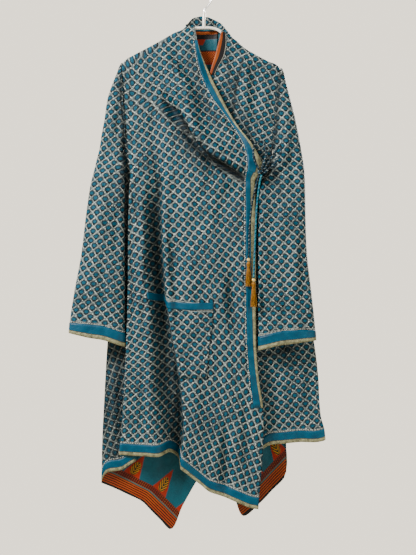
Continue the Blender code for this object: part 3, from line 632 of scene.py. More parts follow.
# Sleeves as flattened tubes: the fold away from the body, the fold beside it, and the depth.
rightSleeve = table(
    "height outer inner centre halfDepth",
    (-200, -190, -187, 0, 4),
    (-209, -195, -190, 0, 6),
    (-221, -199, -190, -0.5, 8.5),
    (-243, -208, -187, -1, 10.5),
    (-290, -223, -186, -2, 12),
    (-334, -229, -182, -3, 12),
    (-372, -236, -182, -4, 12),
    (-400, -240, -186, -5, 12),
    (-420, -245, -186.5, -7, 11),
    (-445, -250, -187.4, -14, 11),
    (-475, -257, -182, -19, 12),
    (-540, -267, -182, -22, 15),
    (-669, -283, -181, -23, 16),
    (-782, -304, -181, -23, 17),
    (-860, -309, -180, -23, 17),
)
leftSleeve = table(
    "height outer inner centre halfDepth",
    (-213, 180, 175, 0, 4),
    (-221, 183, 174, -0.5, 6.5),
    (-237, 187, 169, -1, 9),
    (-282, 198, 164, -2, 12),
    (-340, 212, 160, -3, 12),
    (-372, 218, 156, -4, 12),
    (-400, 223, 160, -5, 12),
    (-420, 226, 157.5, -7, 11),
    (-445, 229, 161, -14, 11),
    (-475, 230, 134, -19, 12),
    (-540, 231, 126, -20, 14),
    (-650, 235, 124, -20, 15),
    (-782, 251, 124, -20, 15),
    (-860, 256, 125, -20, 15),
)
sleeveRows = (-221, -243, -281, -330, -370, -400, -420, -445, -475, -540, -640, -740)
sleeveColumns = 18
underarm = -420
cuffEnd = dict(rightOuter=-819, rightInner=-851, leftOuter=-836, leftInner=-859)

# The standing collar: a strip round the back of the neck, in plan, with its two edges.
collarShape = table(
    "turn x y top",
    (0, -42, -4, -111.5),
    (1, -38, 5, -108),
    (2, -26, 13, -93),
    (3, -2, 17, -87),
    (4, 18, 15, -93.5),
    (5, 35, 7, -104),
    (6, 42, -3, -111),
)
collarSeam = -114.7
collarSteps = 12
neckLiningRows = (-122, -130, -140, -150, -165, -196, -240)
neckLiningColumns = 6
neckLiningX = (-27, 31)

# Long soft folds of a panel: ends, width and how far each stands forward, or back if negative.
frontFolds = table(
    "xTop zTop xFoot zFoot width forward",
    (-60, -165, 0, -290, 26, -6),
    (58, -655, 76, -810, 30, -7),
    (44, -1035, 52, -1200, 30, -8),
    (-30, -560, 10, -700, 60, 4),
)
foldRunOut = 0.15
underFolds = table(
    "xTop zTop xFoot zFoot width forward",
    (69, -205, 66, -335, 16, -5),
    (90, -190, 92, -330, 18, 5),
    (190, -860, 198, -960, 26, 5),
    (226, -900, 236, -1060, 30, -4),
)
backFolds = table(
    "xTop zTop xFoot zFoot width forward",
    (-90, -300, -130, -1180, 60, 6),
    (-20, -400, -55, -1240, 55, -7),
    (60, -330, 60, -1200, 60, 5),
    (120, -420, 165, -1150, 50, -7),
)
# The overhanging drape across the chest, from the right armhole down to the tie.
cowlShape = table(
    "x z forward",
    (-190, -252, 0),
    (-150, -254, 0),
    (-118, -260, 0),
    (-90, -270, 3),
    (-66, -290, 8),
    (-44, -316, 14),
    (-26, -348, 19),
    (-4, -380, 22),
    (30, -407, 21),
    (70, -434, 15),
    (104, -456, 7),
    (136, -474, 0),
)
cowlAbove = 60.0
cowlBelow = 12.0
cowlDroop = 0.85

pocketTop = table("share height", (0, -727), (0.3, -737), (0.45, -743), (0.6, -748), (0.8, -751), (1, -750))
pocketRows = (-795, -860, -922)
pocketBand = 16.0
backFall = 12.0
backSag = 11.0
backEdgeRounding = 45.0

tieKnot = (127.0, -43.6, -455.0)
tieRoutes = {
    "tie_cord_a": (
        (124.6, -44, -461.9), (118, -41, -484), (108, -36, -530), (103, -33, -590), (101, -33, -648)
    ),
    "tie_cord_b": (
        (129.6, -45, -461.9), (124.5, -48, -486), (118.5, -46, -540), (115, -44, -620), (112, -44, -694)
    ),
}
tieLoops = {
    "tie_loop_a": (
        (123.9, -45, -448.9), (112, -49, -424), (113, -48, -396), (126, -46, -385), (138, -45, -396),
        (139, -45, -420), (129.6, -45, -448.9),
    ),
    "tie_loop_b": (
        (135.1, -44, -451.5), (148, -42, -430), (161, -39, -410), (171, -36, -394), (174, -36, -406),
        (161, -39, -434), (135.1, -44.5, -457.5),
    ),
}


# The value of a column at a place between its rows, on a smooth curve that never overshoots
def read(rows, column, at, key="height"):
    places = rows[key]
    values = rows[column]
    if places[0] > places[-1]:
        places = [-place for place in places]
        at = -at
    at = min(max(at, places[0]), places[-1])
    spot = 0
    while spot < len(places) - 2 and at > places[spot + 1]:
        spot += 1
    gaps = [b - a for a, b in zip(places, places[1:])]
    slopes = [(b - a) / gap for a, b, gap in zip(values, values[1:], gaps)]

    def tangent(row):
        if row == 0:
            return slopes[0]
        if row == len(places) - 1:
            return slopes[-1]
        before, after = slopes[row - 1], slopes[row]
        if before * after <= 0:
            return 0.0
        return 2 * before * after / (before + after)

    gap = gaps[spot]
    t = (at - places[spot]) / gap
    rise, fall = tangent(spot) * gap, tangent(spot + 1) * gap
    start, end = values[spot], values[spot + 1]
    blend = t * t * (3 - 2 * t)
    return start + (end - start) * blend + t * (1 - t) * ((1 - t) * rise - t * fall)


def softStep(x):
    x = min(max(x, 0.0), 1.0)
    return x * x * (3 - 2 * x)


# How far the long folds lift the cloth forward at a point of it
def foldsAt(folds, x, z):
    total = 0.0
    for x0, z0, x1, z1, width, forward in zip(*folds.values()):
        along = (z0 - z) / (z0 - z1)
        if not -foldRunOut < along < 1 + foldRunOut:
            continue
        across = (x - (x0 + (x1 - x0) * along)) / width
        if abs(across) < 1:
            start, end = along + foldRunOut, 1 + foldRunOut - along
            fade = softStep(start / foldRunOut / 2) * softStep(end / foldRunOut / 2)
            total += forward * fade * (0.5 + 0.5 * math.cos(math.pi * across))
    return total


def cowlNormal(x):  # the way up and out of the drape's ridge, in the plane of the front
    rise = (read(cowlShape, "z", x + 2, "x") - read(cowlShape, "z", x - 2, "x")) / 4
    length = math.hypot(1, rise)
    return -rise / length, 1 / length


# The chest drape's lift at a point: slow above its ridge and quick below it
def cowlAt(x, z):
    if not cowlShape["x"][0] < x < cowlShape["x"][-1] + 30:
        return 0.0
    ridge = read(cowlShape, "z", x, "x")
    forward = read(cowlShape, "forward", x, "x")
    above = (z - ridge) * cowlNormal(x)[1]
    if above >= 0:
        return forward * (1 - softStep(above / cowlAbove))
    return forward * (1 - softStep(-above / cowlBelow))


shoulderRise = 1.2
hangerTips = dict(free=10, z=-198, over=32)  # how far the cloth comes free below the hanger's tips
backNeck = dict(z=-118, over=70, x=34, beside=30)  # where the back follows the collar
backSags = dict(z=-400, over=300)
narrowCells = dict(z=-265, over=60)  # the back's cells beside the shoulders are narrow above this


# The most that cloth may stand from the hanger's plane so near the shoulder line it hangs over
def shoulderLimit(x, z):
    side = "right" if x < 0 else "left"
    edge = read(sides, side, z)
    inset = max(abs(edge) - abs(x), 0.0)
    run = abs(read(sides, side, z - 2) - read(sides, side, z + 2))
    away = inset * 4 / math.hypot(4, run)
    if away < curlRadius:
        return max(math.sqrt(curlRadius**2 - (curlRadius - away) ** 2), 1.0)
    return curlRadius + (away - curlRadius) * shoulderRise


# How the shoulder's hold on the depth ends below the hanger's tips, where the armholes open
def tipAllowance(z):
    return hangerTips["free"] * softStep((hangerTips["z"] - z) / hangerTips["over"])


# The distance from the hanger's plane to a panel's side edge, on the front or the back face
def sideDepth(face, z):
    return min(read(sideDepths, face, z), 1 + tipAllowance(z))


# Each grid column's landmark, next landmark and share of the way between them
def spansToColumns(spans, first):
    columns = [(first, first, 0.0)]
    before = first
    for name, count in spans.items():
        columns += [(before, name, (step + 1) / count) for step in range(count)]
        before = name
    return columns


# The three rows that fan out from the last level one to the slanting hem and its band
def hemFan(last, hem):
    return [last + (hem + hemBand - last) * 0.5, hem + hemBand, hem]


# The height of a grid row: level rows first, then rows that fan out to the slanting hem
def rowHeight(rows, hem, row):
    return rows[row] if row < len(rows) else hemFan(rows[-1], hem)[row - len(rows)]


# The height at which a grid column of the right front crosses the chest drape's ridge
def cowlLine(column):
    z = -380  # a first guess, by the middle of the drape
    for _ in range(8):
        x = rightFrontSpot(column, z)[0]
        z = read(cowlShape, "z", x, "x")
    return z


# A grid column's heights, from the shoulder down to the hem
def rightFrontHeights(column, hem):
    ridge = cowlLine(column)
    start, end = topRows[-1], lowerRows[0]
    first, last = ridge + cowlOffsets[0], ridge + cowlOffsets[-1]
    heights = list(topRows)
    heights += [start + (first - start) * share for share in sharesToCowl]
    heights += [ridge + offset for offset in cowlOffsets]
    heights += [last + (end - last) * share for share in sharesBelowCowl]
    heights += lowerRows
    return heights + hemFan(lowerRows[-1], hem)


# Where one landmark of a front is at a height, across and forward
def landmark(xRows, forwardRows, name, z, sign):
    if name == "side":
        side = "right" if sign < 0 else "left"
        return read(sides, side, z), read(sideDepths, "front", z)
    return read(xRows, name, z), read(forwardRows, name, z)


# The two landmarks beside a front's grid column, then the column's own place across and forward
def betweenLandmarks(xRows, forwardRows, column, z, sign):
    before, after, share = column
    x0, f0 = landmark(xRows, forwardRows, before, z, sign)
    x1, f1 = landmark(xRows, forwardRows, after, z, sign)
    return x0, x1, x0 + (x1 - x0) * share, f0 + (f1 - f0) * softStep(share)


# Keeps the first cells beside a shoulder narrow, so that the cloth bends round the hanger
def nearShoulder(x, inner, outer, stepsIn):
    insets = (0, 2.6, 8.9)
    if not 0 < stepsIn < len(insets):
        return x
    reach = min(insets[stepsIn], abs(inner - outer) * stepsIn / (stepsIn + 1.5))
    return outer + math.copysign(reach, inner - outer)


# Across and forward places of the overlapping front, before its folds
def rightFrontSpot(column, z):
    x0, x1, x, forward = betweenLandmarks(rightFrontX, rightFrontForward, column, z, -1)
    if column[0] == "side":
        x = nearShoulder(x, x1, x0, round(column[2] * rightFrontSpans["tuck"]))
    return x, forward


# A point of the overlapping front at a grid column and a height, in millimetres
def rightFront(column, z):
    x, forward = rightFrontSpot(column, z)
    drape = cowlAt(x, z)
    forward += drape + foldsAt(frontFolds, x, z)
    forward = min(forward, shoulderLimit(x, z) + tipAllowance(z))
    acrossFold, upFold = cowlNormal(x)
    sink = cowlDroop * drape * upFold
    return x - sink * acrossFold, -forward, z - sink * upFold


# A point of the front beneath at a grid column and a height, in millimetres
def leftFront(column, z):
    x0, x1, x, forward = betweenLandmarks(leftFrontX, leftFrontForward, column, z, 1)
    if column[1] == "side":
        x = nearShoulder(x, x0, x1, round(leftFrontSpans["side"] * (1 - column[2])))
    forward += foldsAt(underFolds, x, z)
    return x, -min(forward, shoulderLimit(x, z) + tipAllowance(z)), z


# How far behind the hanger's plane the back lies at a point of it
def backDepth(x, z):
    inset = max(min(x - read(sides, "right", z), read(sides, "left", z) - x), 0.0)
    turn = read(dict(x=collarShape["x"], turn=collarShape["turn"]), "turn", x, "x")
    nearNeck = 1 - softStep((backNeck["z"] - z) / backNeck["over"])
    nearNeck *= 1 - softStep((abs(x) - backNeck["x"]) / backNeck["beside"])
    deep = backFall + backSag * softStep((backSags["z"] - z) / backSags["over"])
    deep += (read(collarShape, "y", turn, "turn") - deep) * nearNeck
    edge = read(sideDepths, "back", z)
    depth = edge + (deep - edge) * softStep(inset / backEdgeRounding) - foldsAt(backFolds, x, z)
    return min(depth, shoulderLimit(x, z) + tipAllowance(z))


# Each column's share of the back's width, its hem height, and its steps from both sides
def backColumns():
    columns = []
    shares, heights, spans = backHem["share"], backHem["height"], backHem["span"]
    for place in range(1, len(shares)):
        for step in range(spans[place]):
            t = step / spans[place]
            share = shares[place - 1] + (shares[place] - shares[place - 1]) * t
            columns.append((share, heights[place - 1] + (heights[place] - heights[place - 1]) * t))
    columns.append((shares[-1], heights[-1]))
    last = len(columns) - 1
    return [(share, height, place, last - place) for place, (share, height) in enumerate(columns)]


# A point of the back at a grid column and a height, in millimetres
def back(column, z):
    share, _, fromRight, fromLeft = column
    right, left = read(sides, "right", z), read(sides, "left", z)
    middle = (right + left) / 2
    even = right + (left - right) * share
    bent = nearShoulder(even, middle, right, fromRight)
    bent = nearShoulder(bent, middle, left, fromLeft)
    x = even + (bent - even) * softStep((z - narrowCells["z"]) / narrowCells["over"])
    return x, backDepth(x, z), z


# Points a step apart, read from a smooth curve through a route's own points
def smoothRoute(points, step):
    ends = [Vector(point) for point in points]
    fine = []
    for place in range(len(ends) - 1):
        before = ends[max(place - 1, 0)]
        start, stop = ends[place], ends[place + 1]
        after = ends[min(place + 2, len(ends) - 1)]
        for share in range(20):
            t = share / 20
            fine.append(
                0.5 * (2 * start + (stop - before) * t + (2 * before - 5 * start + 4 * stop - after) * t**2
                       + (3 * start - before - 3 * stop + after) * t**3)
            )
    fine.append(ends[-1])
    lengths = [0.0]
    for a, b in zip(fine, fine[1:]):
        lengths.append(lengths[-1] + (b - a).length)
    count = max(round(lengths[-1] / step), 2)
    route = []
    for place in range(count + 1):
        want = lengths[-1] * place / count
        spot = max(index for index, length in enumerate(lengths) if length <= want + 1e-9)
        spot = min(spot, len(fine) - 2)
        share = (want - lengths[spot]) / (lengths[spot + 1] - lengths[spot])
        route.append(fine[spot].lerp(fine[spot + 1], share))
    return route


# The hanger's shoulder tube: down the arms from a short level bar, below the cloth's folds
def hangerRoute():
    drop = curlRadius * math.hypot(1, shoulderSlope)
    rightArm = [(read(sides, "right", z), z - drop) for z in (-190, -180, -165, -150, -138)]
    leftArm = [(read(sides, "left", z), z - drop) for z in (-155, -165, -176, -190, -204)]
    bar = [(-50, -131), (-27, -121), (0, -118.5), (22, -120), (38, -127), (54, -143)]
    return [(x, 0, z) for x, z in rightArm + bar + leftArm]


# Cloth: coarse points refined by smooth curves, creased along listed folds, with the print's axes laid over
# it
clothSizes = dict(wall=1.2, bandWall=0.9, steps=6, bandLift=1.35, liningLift=1.5, pocketLift=1.9, ripple=1.1)


def eased(x):
    x = np.clip(x, 0, 1)
    return x * x * (3 - 2 * x)


def straight(rows, column, z):  # a table's column at many heights, in straight lines between its rows
    return np.interp(z, rows["height"][::-1], rows[column][::-1])


def unit(vectors):
    return vectors / (np.linalg.norm(vectors, axis=-1, keepdims=True) + 1e-9)


def gridOf(columns, rows, place):
    return np.array([[place(column, row) for column in range(columns + 1)] for row in range(rows + 1)])


def smoothed(grid, steps):  # more rows, on smooth curves through the grid's own
    gaps = np.linalg.norm(np.diff(grid[..., :3], axis=0), axis=2, keepdims=True) + 1e-4
    slopes = np.diff(grid, axis=0) / gaps
    between = (slopes[:-1] * gaps[1:] + slopes[1:] * gaps[:-1]) / (gaps[:-1] + gaps[1:])
    tangents = np.concatenate([slopes[:1], between, slopes[-1:]])
    rows = []
    for row, gap in enumerate(gaps):
        for step in range(steps):
            t = step / steps
            blend, rise, fall = t * t * (3 - 2 * t), t * (1 - t) ** 2 * gap, t * t * (1 - t) * gap
            rows.append(grid[row] * (1 - blend) + grid[row + 1] * blend + rise * tangents[row]
                        - fall * tangents[row + 1])
    return np.array(rows + [grid[-1]])


def refined(grid, steps, around=False):
    if around:
        grid = np.concatenate([grid[:, -4:-1], grid, grid[:, 1:4]], axis=1)
    grid = smoothed(smoothed(grid, steps).swapaxes(0, 1), steps).swapaxes(0, 1)
    return grid[:, 3 * steps:-3 * steps] if around else grid


def outward(grid, around=False):
    right = np.gradient(grid, axis=1)
    if around:
        right[:, 0] = right[:, -1] = (grid[:, 1] - grid[:, -2]) / 2
    return unit(np.cross(np.gradient(grid, axis=0), right))


def lengthsAlong(grid, axis):  # the distance along each row, or down each column
    steps = np.linalg.norm(np.diff(grid, axis=axis), axis=2)
    return np.insert(np.cumsum(steps, axis=axis), 0, 0, axis=axis)


def grainMap(points, angles, slits=()):  # lays the print's two axes over a grid, as evenly as it can
    normal = outward(points)
    level = unit(np.cross((0, 0, 1), normal))
    rise = np.cross(normal, level)
    turn = np.radians(angles)[..., None]
    tip = level * np.cos(turn) + rise * np.sin(turn)
    side = rise * np.cos(turn) - level * np.sin(turn)
    count = points.shape[0] * points.shape[1]
    order = np.arange(count).reshape(points.shape[:2])
    pull, goal = np.zeros((count, count)), np.zeros((count, 2))
    area = np.linalg.norm(np.cross(np.gradient(points, axis=0), np.gradient(points, axis=1)), axis=2)
    every, early, late = slice(None), slice(None, -1), slice(1, None)
    for axis, first, second in ((1, (every, early), (every, late)), (0, (early, every), (late, every))):
        step = points[second] - points[first]
        wants = [(step * (way[first] + way[second])).sum(axis=2).ravel() / 2 for way in (tip, side)]
        weight = (area[first] + area[second]) / 2 / (step * step).sum(axis=2)
        for way, rows, columns in slits:
            if way == axis:
                weight[rows, columns] *= 0.001
        weight = weight.ravel()
        wants = np.stack(wants, axis=1) * weight[:, None]
        a, b = order[first].ravel(), order[second].ravel()
        for spot, sign in (((a, a), 1), ((b, b), 1), ((a, b), -1), ((b, a), -1)):
            np.add.at(pull, spot, weight * sign)
        np.add.at(goal, b, wants)
        np.add.at(goal, a, -wants)
    pull[0, 0] += 1
    return np.linalg.solve(pull, goal).reshape(*points.shape[:2], 2)


def printOver(grid, angles, steps, slits=()):  # the print's map, refined as the grid is
    both = np.concatenate([grid, grainMap(grid, angles, slits)], axis=2)
    return refined(both, steps)[..., 3:] * mm


paintedShadeSizes = dict(full=18, start=0.1, most=0.5, seam=0.8, seamWidth=6, seamTop=-205, seamFoot=-560)


def paintedShadesOf(grid, facing=-1.0, seams=()):  # painted shade, 0 to 1: darker the deeper each point lies between its neighbours, and beside the side seams under the armholes
    s = paintedShadeSizes
    facing = np.broadcast_to(facing, grid.shape[:2])
    out, deepest = grid[..., 1] * facing, np.zeros(grid.shape[:2])
    for axis in (0, 1):
        for line in range(grid.shape[axis]):
            here = (line, slice(None)) if axis == 0 else (slice(None), line)
            stand, face = out[here], facing[here]
            away = np.hypot(*[grid[here][None, :, k] - grid[here][:, None, k] for k in (0, 2)])
            over = stand[None] - stand[:, None] - 0.5 * away
            over[face[None] != face[:, None]] = 0
            deepest[here] = np.maximum(deepest[here], over.max(axis=1))
    hollow = np.clip(deepest / s["full"] - s["start"], 0, s["most"])
    fade = eased((s["seamTop"] - grid[..., 2]) / 40) * eased((grid[..., 2] - s["seamFoot"]) / 130)
    for seam in seams:
        away = (grid[..., 0] - straight(sides, seam, grid[..., 2])) / s["seamWidth"]
        hollow = np.maximum(hollow, s["seam"] * fade * np.exp(-away * away))
    return np.stack([hollow, hollow], axis=2)


def withPaintedShades(hollow, shades):  # a panel's painted shade in its hollows, with further soft painted shades laid over it
    for shade in shades:
        hollow = np.maximum(hollow, shade[..., None])
    return hollow


def shadeAlong(grid, route, depth):  # a soft shade by a fold, sharp on its upper side
    x, z = grid[..., 0], grid[..., 2]
    shade = np.zeros(x.shape)
    for (x0, z0, wide0), (x1, z1, wide1) in zip(route, route[1:]):
        alongX, alongZ = x1 - x0, z1 - z0
        t = np.clip(((x - x0) * alongX + (z - z0) * alongZ) / (alongX ** 2 + alongZ ** 2), 0, 1)
        offX, offZ = x - x0 - alongX * t, z - z0 - alongZ * t
        width = (wide0 + (wide1 - wide0) * t) * np.where(offZ * alongX - offX * alongZ > 0, 0.45, 1)
        shade = np.maximum(shade, np.exp(-(offX ** 2 + offZ ** 2) / width ** 2))
    return shade * depth


creaseShape = dict(fadeIn=0.22, fadeOut=0.35, beside=0.35, besideAt=1.9)
ripples = ((62, 1.0, 3.7), (27, 0.4, 9.1))  # size in millimetres, share of the ripple's height, and seed


def creased(grid, creases, sign=-1, calm=1.0):  # moves cloth out (or in) along Y by its listed folds
    shape = creaseShape
    x, z = grid[..., 0], grid[..., 2]
    total = np.zeros(grid.shape[:2])
    for x0, z0, x1, z1, bend, width, depth in creases:
        length = math.hypot(x1 - x0, z1 - z0)
        alongX, alongZ = (x1 - x0) / length, (z1 - z0) / length
        t = ((x - x0) * alongX + (z - z0) * alongZ) / length
        off = (x - x0) * alongZ - (z - z0) * alongX - bend * 4 * t * (1 - t)
        s = np.abs(off) / (width * (0.6 + 0.6 * np.clip(t, 0, 1)))
        fade = eased(t / shape["fadeIn"]) * eased((1 - t) / shape["fadeOut"])
        swell = shape["beside"] * np.exp(-((s - shape["besideAt"]) ** 2))
        total += depth * fade * (np.exp(-s * s) - swell)
    for scale, share, seed in ripples:
        total += clothSizes["ripple"] * share * np.array([
            [noise.noise(Vector((px / scale, seed + sign, pz / scale / 1.7))) for px, _, pz in row]
            for row in grid
        ])
    moved = grid.copy()
    moved[..., 1] += sign * total * calm
    return moved


def meshOf(name, shape):  # ends a bmesh
    mesh = bpy.data.meshes.new(name)
    shape.to_mesh(mesh)
    shape.free()
    return mesh


def clothMesh(name, grid, layers, flip=False, weld=False):  # each layer is a UV map of the grid's points
    rows, columns = grid.shape[0] - 1, grid.shape[1] - 1
    mesh = bpy.data.meshes.new(name)
    shape = bmesh.new()
    bmesh.ops.create_grid(shape, x_segments=columns, y_segments=rows, size=0.5)
    shape.to_mesh(mesh)
    spots = np.empty(len(mesh.vertices) * 3)
    mesh.vertices.foreach_get("co", spots)
    column = np.rint((spots[0::3] + 0.5) * columns).astype(int)
    row = np.rint((0.5 - spots[1::3]) * rows).astype(int)
    mesh.vertices.foreach_set("co", (grid[row, column] * mm).ravel())
    corners = np.empty(len(mesh.loops), dtype=np.int32)
    mesh.loops.foreach_get("vertex_index", corners)
    row, column = row[corners], column[corners]
    for layer, spots in layers.items():
        values = spots[row, column].astype(np.float32)
        mesh.uv_layers.new(name=layer).data.foreach_set("uv", values.ravel())
    if weld:
        shape.clear()
        shape.from_mesh(mesh)
        bmesh.ops.remove_doubles(shape, verts=shape.verts, dist=0.02 * mm)
        bmesh.ops.recalc_face_normals(shape, faces=shape.faces)
        shape.to_mesh(mesh)
    shape.free()
    if flip:
        mesh.flip_normals()
    mesh.shade_smooth()
    return mesh


def addPiece(name, data, look, slot, *replaced):
    item = linked(name, data)
    data.materials.append(looks[look])
    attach(item, root)
    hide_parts(*replaced)
    return item


def addCloth(name, grid, layers, look, slot, node, wall, inner=None, flip=False, weld=False):
    replaced = [node] if node else []
    item = addPiece(name, clothMesh(name, grid, layers, flip, weld), look, slot, *replaced)
    if inner:
        item.data.materials.append(looks[inner])
    thicken = item.modifiers.new("wall", "SOLIDIFY")
    thicken.thickness = clothSizes[wall] * mm
    thicken.offset = 0.0
    thicken.material_offset = 1 if inner else 0
    return item


def stripLayers(grid, downwards, teal=selvedgeFrom):  # along the strip in metres, and across it from 0 to 1
    rows, columns = grid.shape[:2]
    if downwards:
        along = lengthsAlong(grid, 0) * mm
        share = np.broadcast_to(np.linspace(0, 1, columns), (rows, columns))
    else:
        along = lengthsAlong(grid, 1) * mm
        share = np.broadcast_to(np.linspace(0, 1, rows)[:, None], (rows, columns))
    if isinstance(teal, tuple):  # the plain part's share of the width, by depth below the hook
        teal = np.interp(-grid[..., 2], *teal)
    ribbed = selvedgeFrom + (share - teal) / np.maximum(1 - teal, 0.01) * 0.32
    share = np.where(share < teal, share / teal * selvedgeFrom, ribbed)
    return dict(cloth=np.stack([along, share], axis=2))


def addPanel(name, grid, layers, node, inner="liningBack", **finish):  # a piece of the printed cloth
    return addCloth(name, grid, layers, "print", "print", node, "wall", inner, **finish)


edgingAway = dict(band=5, frontEdge=30, pocket=500, noEdge=400)  # keeps the dots off an edge


def borderLayer(edge, hem):  # two distances as one map, such as from the edge's border and from the hem's
    return np.stack([edge, hem], axis=2) * mm


def addBand(name, grid, downwards, node, look="border", slot="border", lift=clothSizes["bandLift"],
            around=False, teal=selvedgeFrom):
    raised = grid + outward(grid, around) * lift
    layers = stripLayers(raised, downwards, teal)
    return addCloth(name, raised, layers, look, slot, node, "bandWall", weld=around)


def tubeGrid(path, width, around=16, flat=1.0, swell=0.0):  # rings along a path, closed at both ends
    path = np.array([tuple(point) for point in path])
    ahead = unit(np.gradient(path, axis=0))
    beside = unit(np.cross(ahead, (0, 1, 0)))
    front = np.cross(beside, ahead)
    turn = np.linspace(0, 2 * math.pi, around + 1)[None, :, None]
    travel = np.arange(len(path))[:, None, None]
    reach = width / 2 * (1 + swell * np.sin(travel * 0.9 + turn))
    rings = path[:, None] + (beside[:, None] * np.cos(turn) + front[:, None] * np.sin(turn) * flat) * reach
    caps = [np.repeat(path[end][None, None], around + 1, axis=1) for end in (0, -1)]
    return np.concatenate([caps[0], rings, caps[1]])


def tubeLayers(grid):
    rows, columns = grid.shape[:2]
    along = np.broadcast_to(lengthsAlong(grid.mean(axis=1, keepdims=True), 0) * mm, (rows, columns))
    around = np.broadcast_to(np.linspace(0, 1, columns), (rows, columns))
    return dict(cloth=np.stack([along, around], axis=2))


def tubeMesh(name, path, width, **shape):
    grid = tubeGrid(path, width, **shape)
    return clothMesh(name, grid, tubeLayers(grid), weld=True)


# Ties: a bow of rolled print silk, whose two ends hang down to a bead and a tassel each
tieSizes = dict(cord=4.4, loop=1.15, flat=0.8, swell=0.05, strands=(34, 26, 16), strand=0.42, gap=0.35)
tieLooks = dict(tie_cord_a="darkCord", tie_cord_b="lightCord")
tasselShape = (  # how far down each strand's points are, and how far out from the tassel's middle
    (0, 0.6), (1.6, 3.4), (5, 4.5), (9, 4.1), (12, 3.2), (16, 3.9), (26, 5.0), (38, 5.6), (48, 6.0),
    (tasselLength, 6.3),
)
tasselNeck = dict(wide=3.75, deep=3.3, down=10.6, turns=4, pitch=0.8)  # the thread wound round its neck
knotTurns = (  # tilt, reach, drop and width of each turn of cord
    (-0.35, 4.6, 1.5, 5.0), (0.5, 4.2, -1.6, 4.8), (0.05, 4.9, 0.2, 4.2),
)
knotCore = 5.6


def addCord(node):
    route = smoothRoute(tieRoutes[node], 3.0)
    name = "hanging" + node[-1].upper() + "Cord"
    mesh = tubeMesh(name, route, tieSizes["cord"], swell=tieSizes["swell"])
    return addPiece(name, mesh, tieLooks[node], "tie", node), route


def threads(name, splines, width):  # a curve object of many round threads
    curve = bpy.data.curves.new(name, "CURVE")
    curve.dimensions = "3D"
    curve.bevel_depth = width / 2 * mm
    curve.bevel_resolution = 1
    curve.use_fill_caps = True
    for points, closed in splines:
        spline = curve.splines.new("POLY")
        spline.points.add(len(points) - 1)
        for spot, point in zip(spline.points, points):
            spot.co = (*(Vector(point) * mm), 1)
        spline.use_cyclic_u = closed
    return curve


def addTassel(letter, top):
    splines = []
    x, y, z = top
    for layer, count in enumerate(tieSizes["strands"]):
        share = 1 - 0.3 * layer
        for order in range(count):
            turn = 2 * math.pi * (order + 0.37 * layer) / count
            points = []
            for down, reach in tasselShape:
                stray = Vector((order * 1.7, layer * 5.1, down / 17))
                sway = max(down - 13, 0) / 40
                angle = turn + sway * 0.5 * noise.noise(stray)
                far = reach * share * (1 + sway * 0.5 * noise.noise(stray * 1.3))
                fall = down - sway * 2.6 * abs(noise.noise(stray * 2.1)) * (down > 40)
                points.append((x + far * math.cos(angle), y + 0.85 * far * math.sin(angle), z - fall))
            splines.append((points, False))
    s = tasselNeck
    for turns in range(s["turns"]):
        ring = []
        for order in range(24):
            angle = 2 * math.pi * order / 24
            ring.append((x + s["wide"] * math.cos(angle), y + s["deep"] * math.sin(angle),
                         z - s["down"] - turns * s["pitch"] - 0.1 * math.sin(angle)))
        splines.append((ring, True))
    name = "silkTassel" + letter.upper()
    strands = threads(name, splines, tieSizes["strand"] * 2)
    return addPiece(name, strands, "tassel", "tassel", "tassel_" + letter)


def ballMesh(name, radius, centre, stretch, around, rings):
    shape = bmesh.new()
    bmesh.ops.create_uvsphere(shape, u_segments=around, v_segments=rings, radius=radius * mm)
    bmesh.ops.scale(shape, verts=shape.verts, vec=stretch)
    bmesh.ops.translate(shape, verts=shape.verts, vec=Vector(centre) * mm)
    return meshOf(name, shape)


def addBead(letter, centre):
    name = "ivoryBead" + letter.upper()
    mesh = ballMesh(name, beadSize / 2, centre, (1, 1, 0.94), 32, 20)
    mesh.shade_smooth()
    return addPiece(name, mesh, "bead", "bead", "bead_" + letter)


def joined(name, parts):
    shape = bmesh.new()
    for part in parts:
        shape.from_mesh(part)
    mesh = meshOf(name, shape)
    mesh.shade_smooth()
    return mesh


def addKnot():
    x, y, z = tieKnot
    wraps = []
    for tilt, reach, drop, width in knotTurns:
        ring = []
        for order in range(25):
            angle = 2 * math.pi * order / 24
            across, deep = reach * math.cos(angle), reach * 0.62 * math.sin(angle)
            ring.append((x + across * math.cos(tilt), y + deep, z + drop + across * math.sin(tilt)))
        wraps.append(tubeMesh("wrap", ring, width, flat=tieSizes["flat"]))
    core = ballMesh("knotCore", knotCore, tieKnot, (1, 0.75, 0.95), 24, 16)
    return addPiece("tiedKnot", joined("tiedKnot", wraps + [core]), "darkCord", "tie", "tie_knot")


for letter in "ab":
    cordPiece, route = addCord("tie_cord_" + letter)
    endX, endY, endZ = tieRoutes["tie_cord_" + letter][-1]
    beadPiece = addBead(letter, (endX, endY, endZ - beadSize / 2 - tieSizes["gap"]))
    tasselPiece = addTassel(letter, (endX, endY, endZ - beadSize - tieSizes["gap"]))
    metres = [[value * mm for value in point] for point in route]
    cordLength = sum((Vector(b) - Vector(a)).length for a, b in zip(metres, metres[1:]))
    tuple(metres[0])
    print("cord", letter, round(cordLength, 3))
for node, points in tieLoops.items():
    loopName = "bowLoop" + node[-1].upper()
    route = smoothRoute(points, 2.5)
    width = tieTube * tieSizes["loop"]
    loopMesh = tubeMesh(loopName, route, width, flat=tieSizes["flat"], swell=tieSizes["swell"])
    addPiece(loopName, loopMesh, "darkCord", "tie", node)
addKnot()
print("ties made")


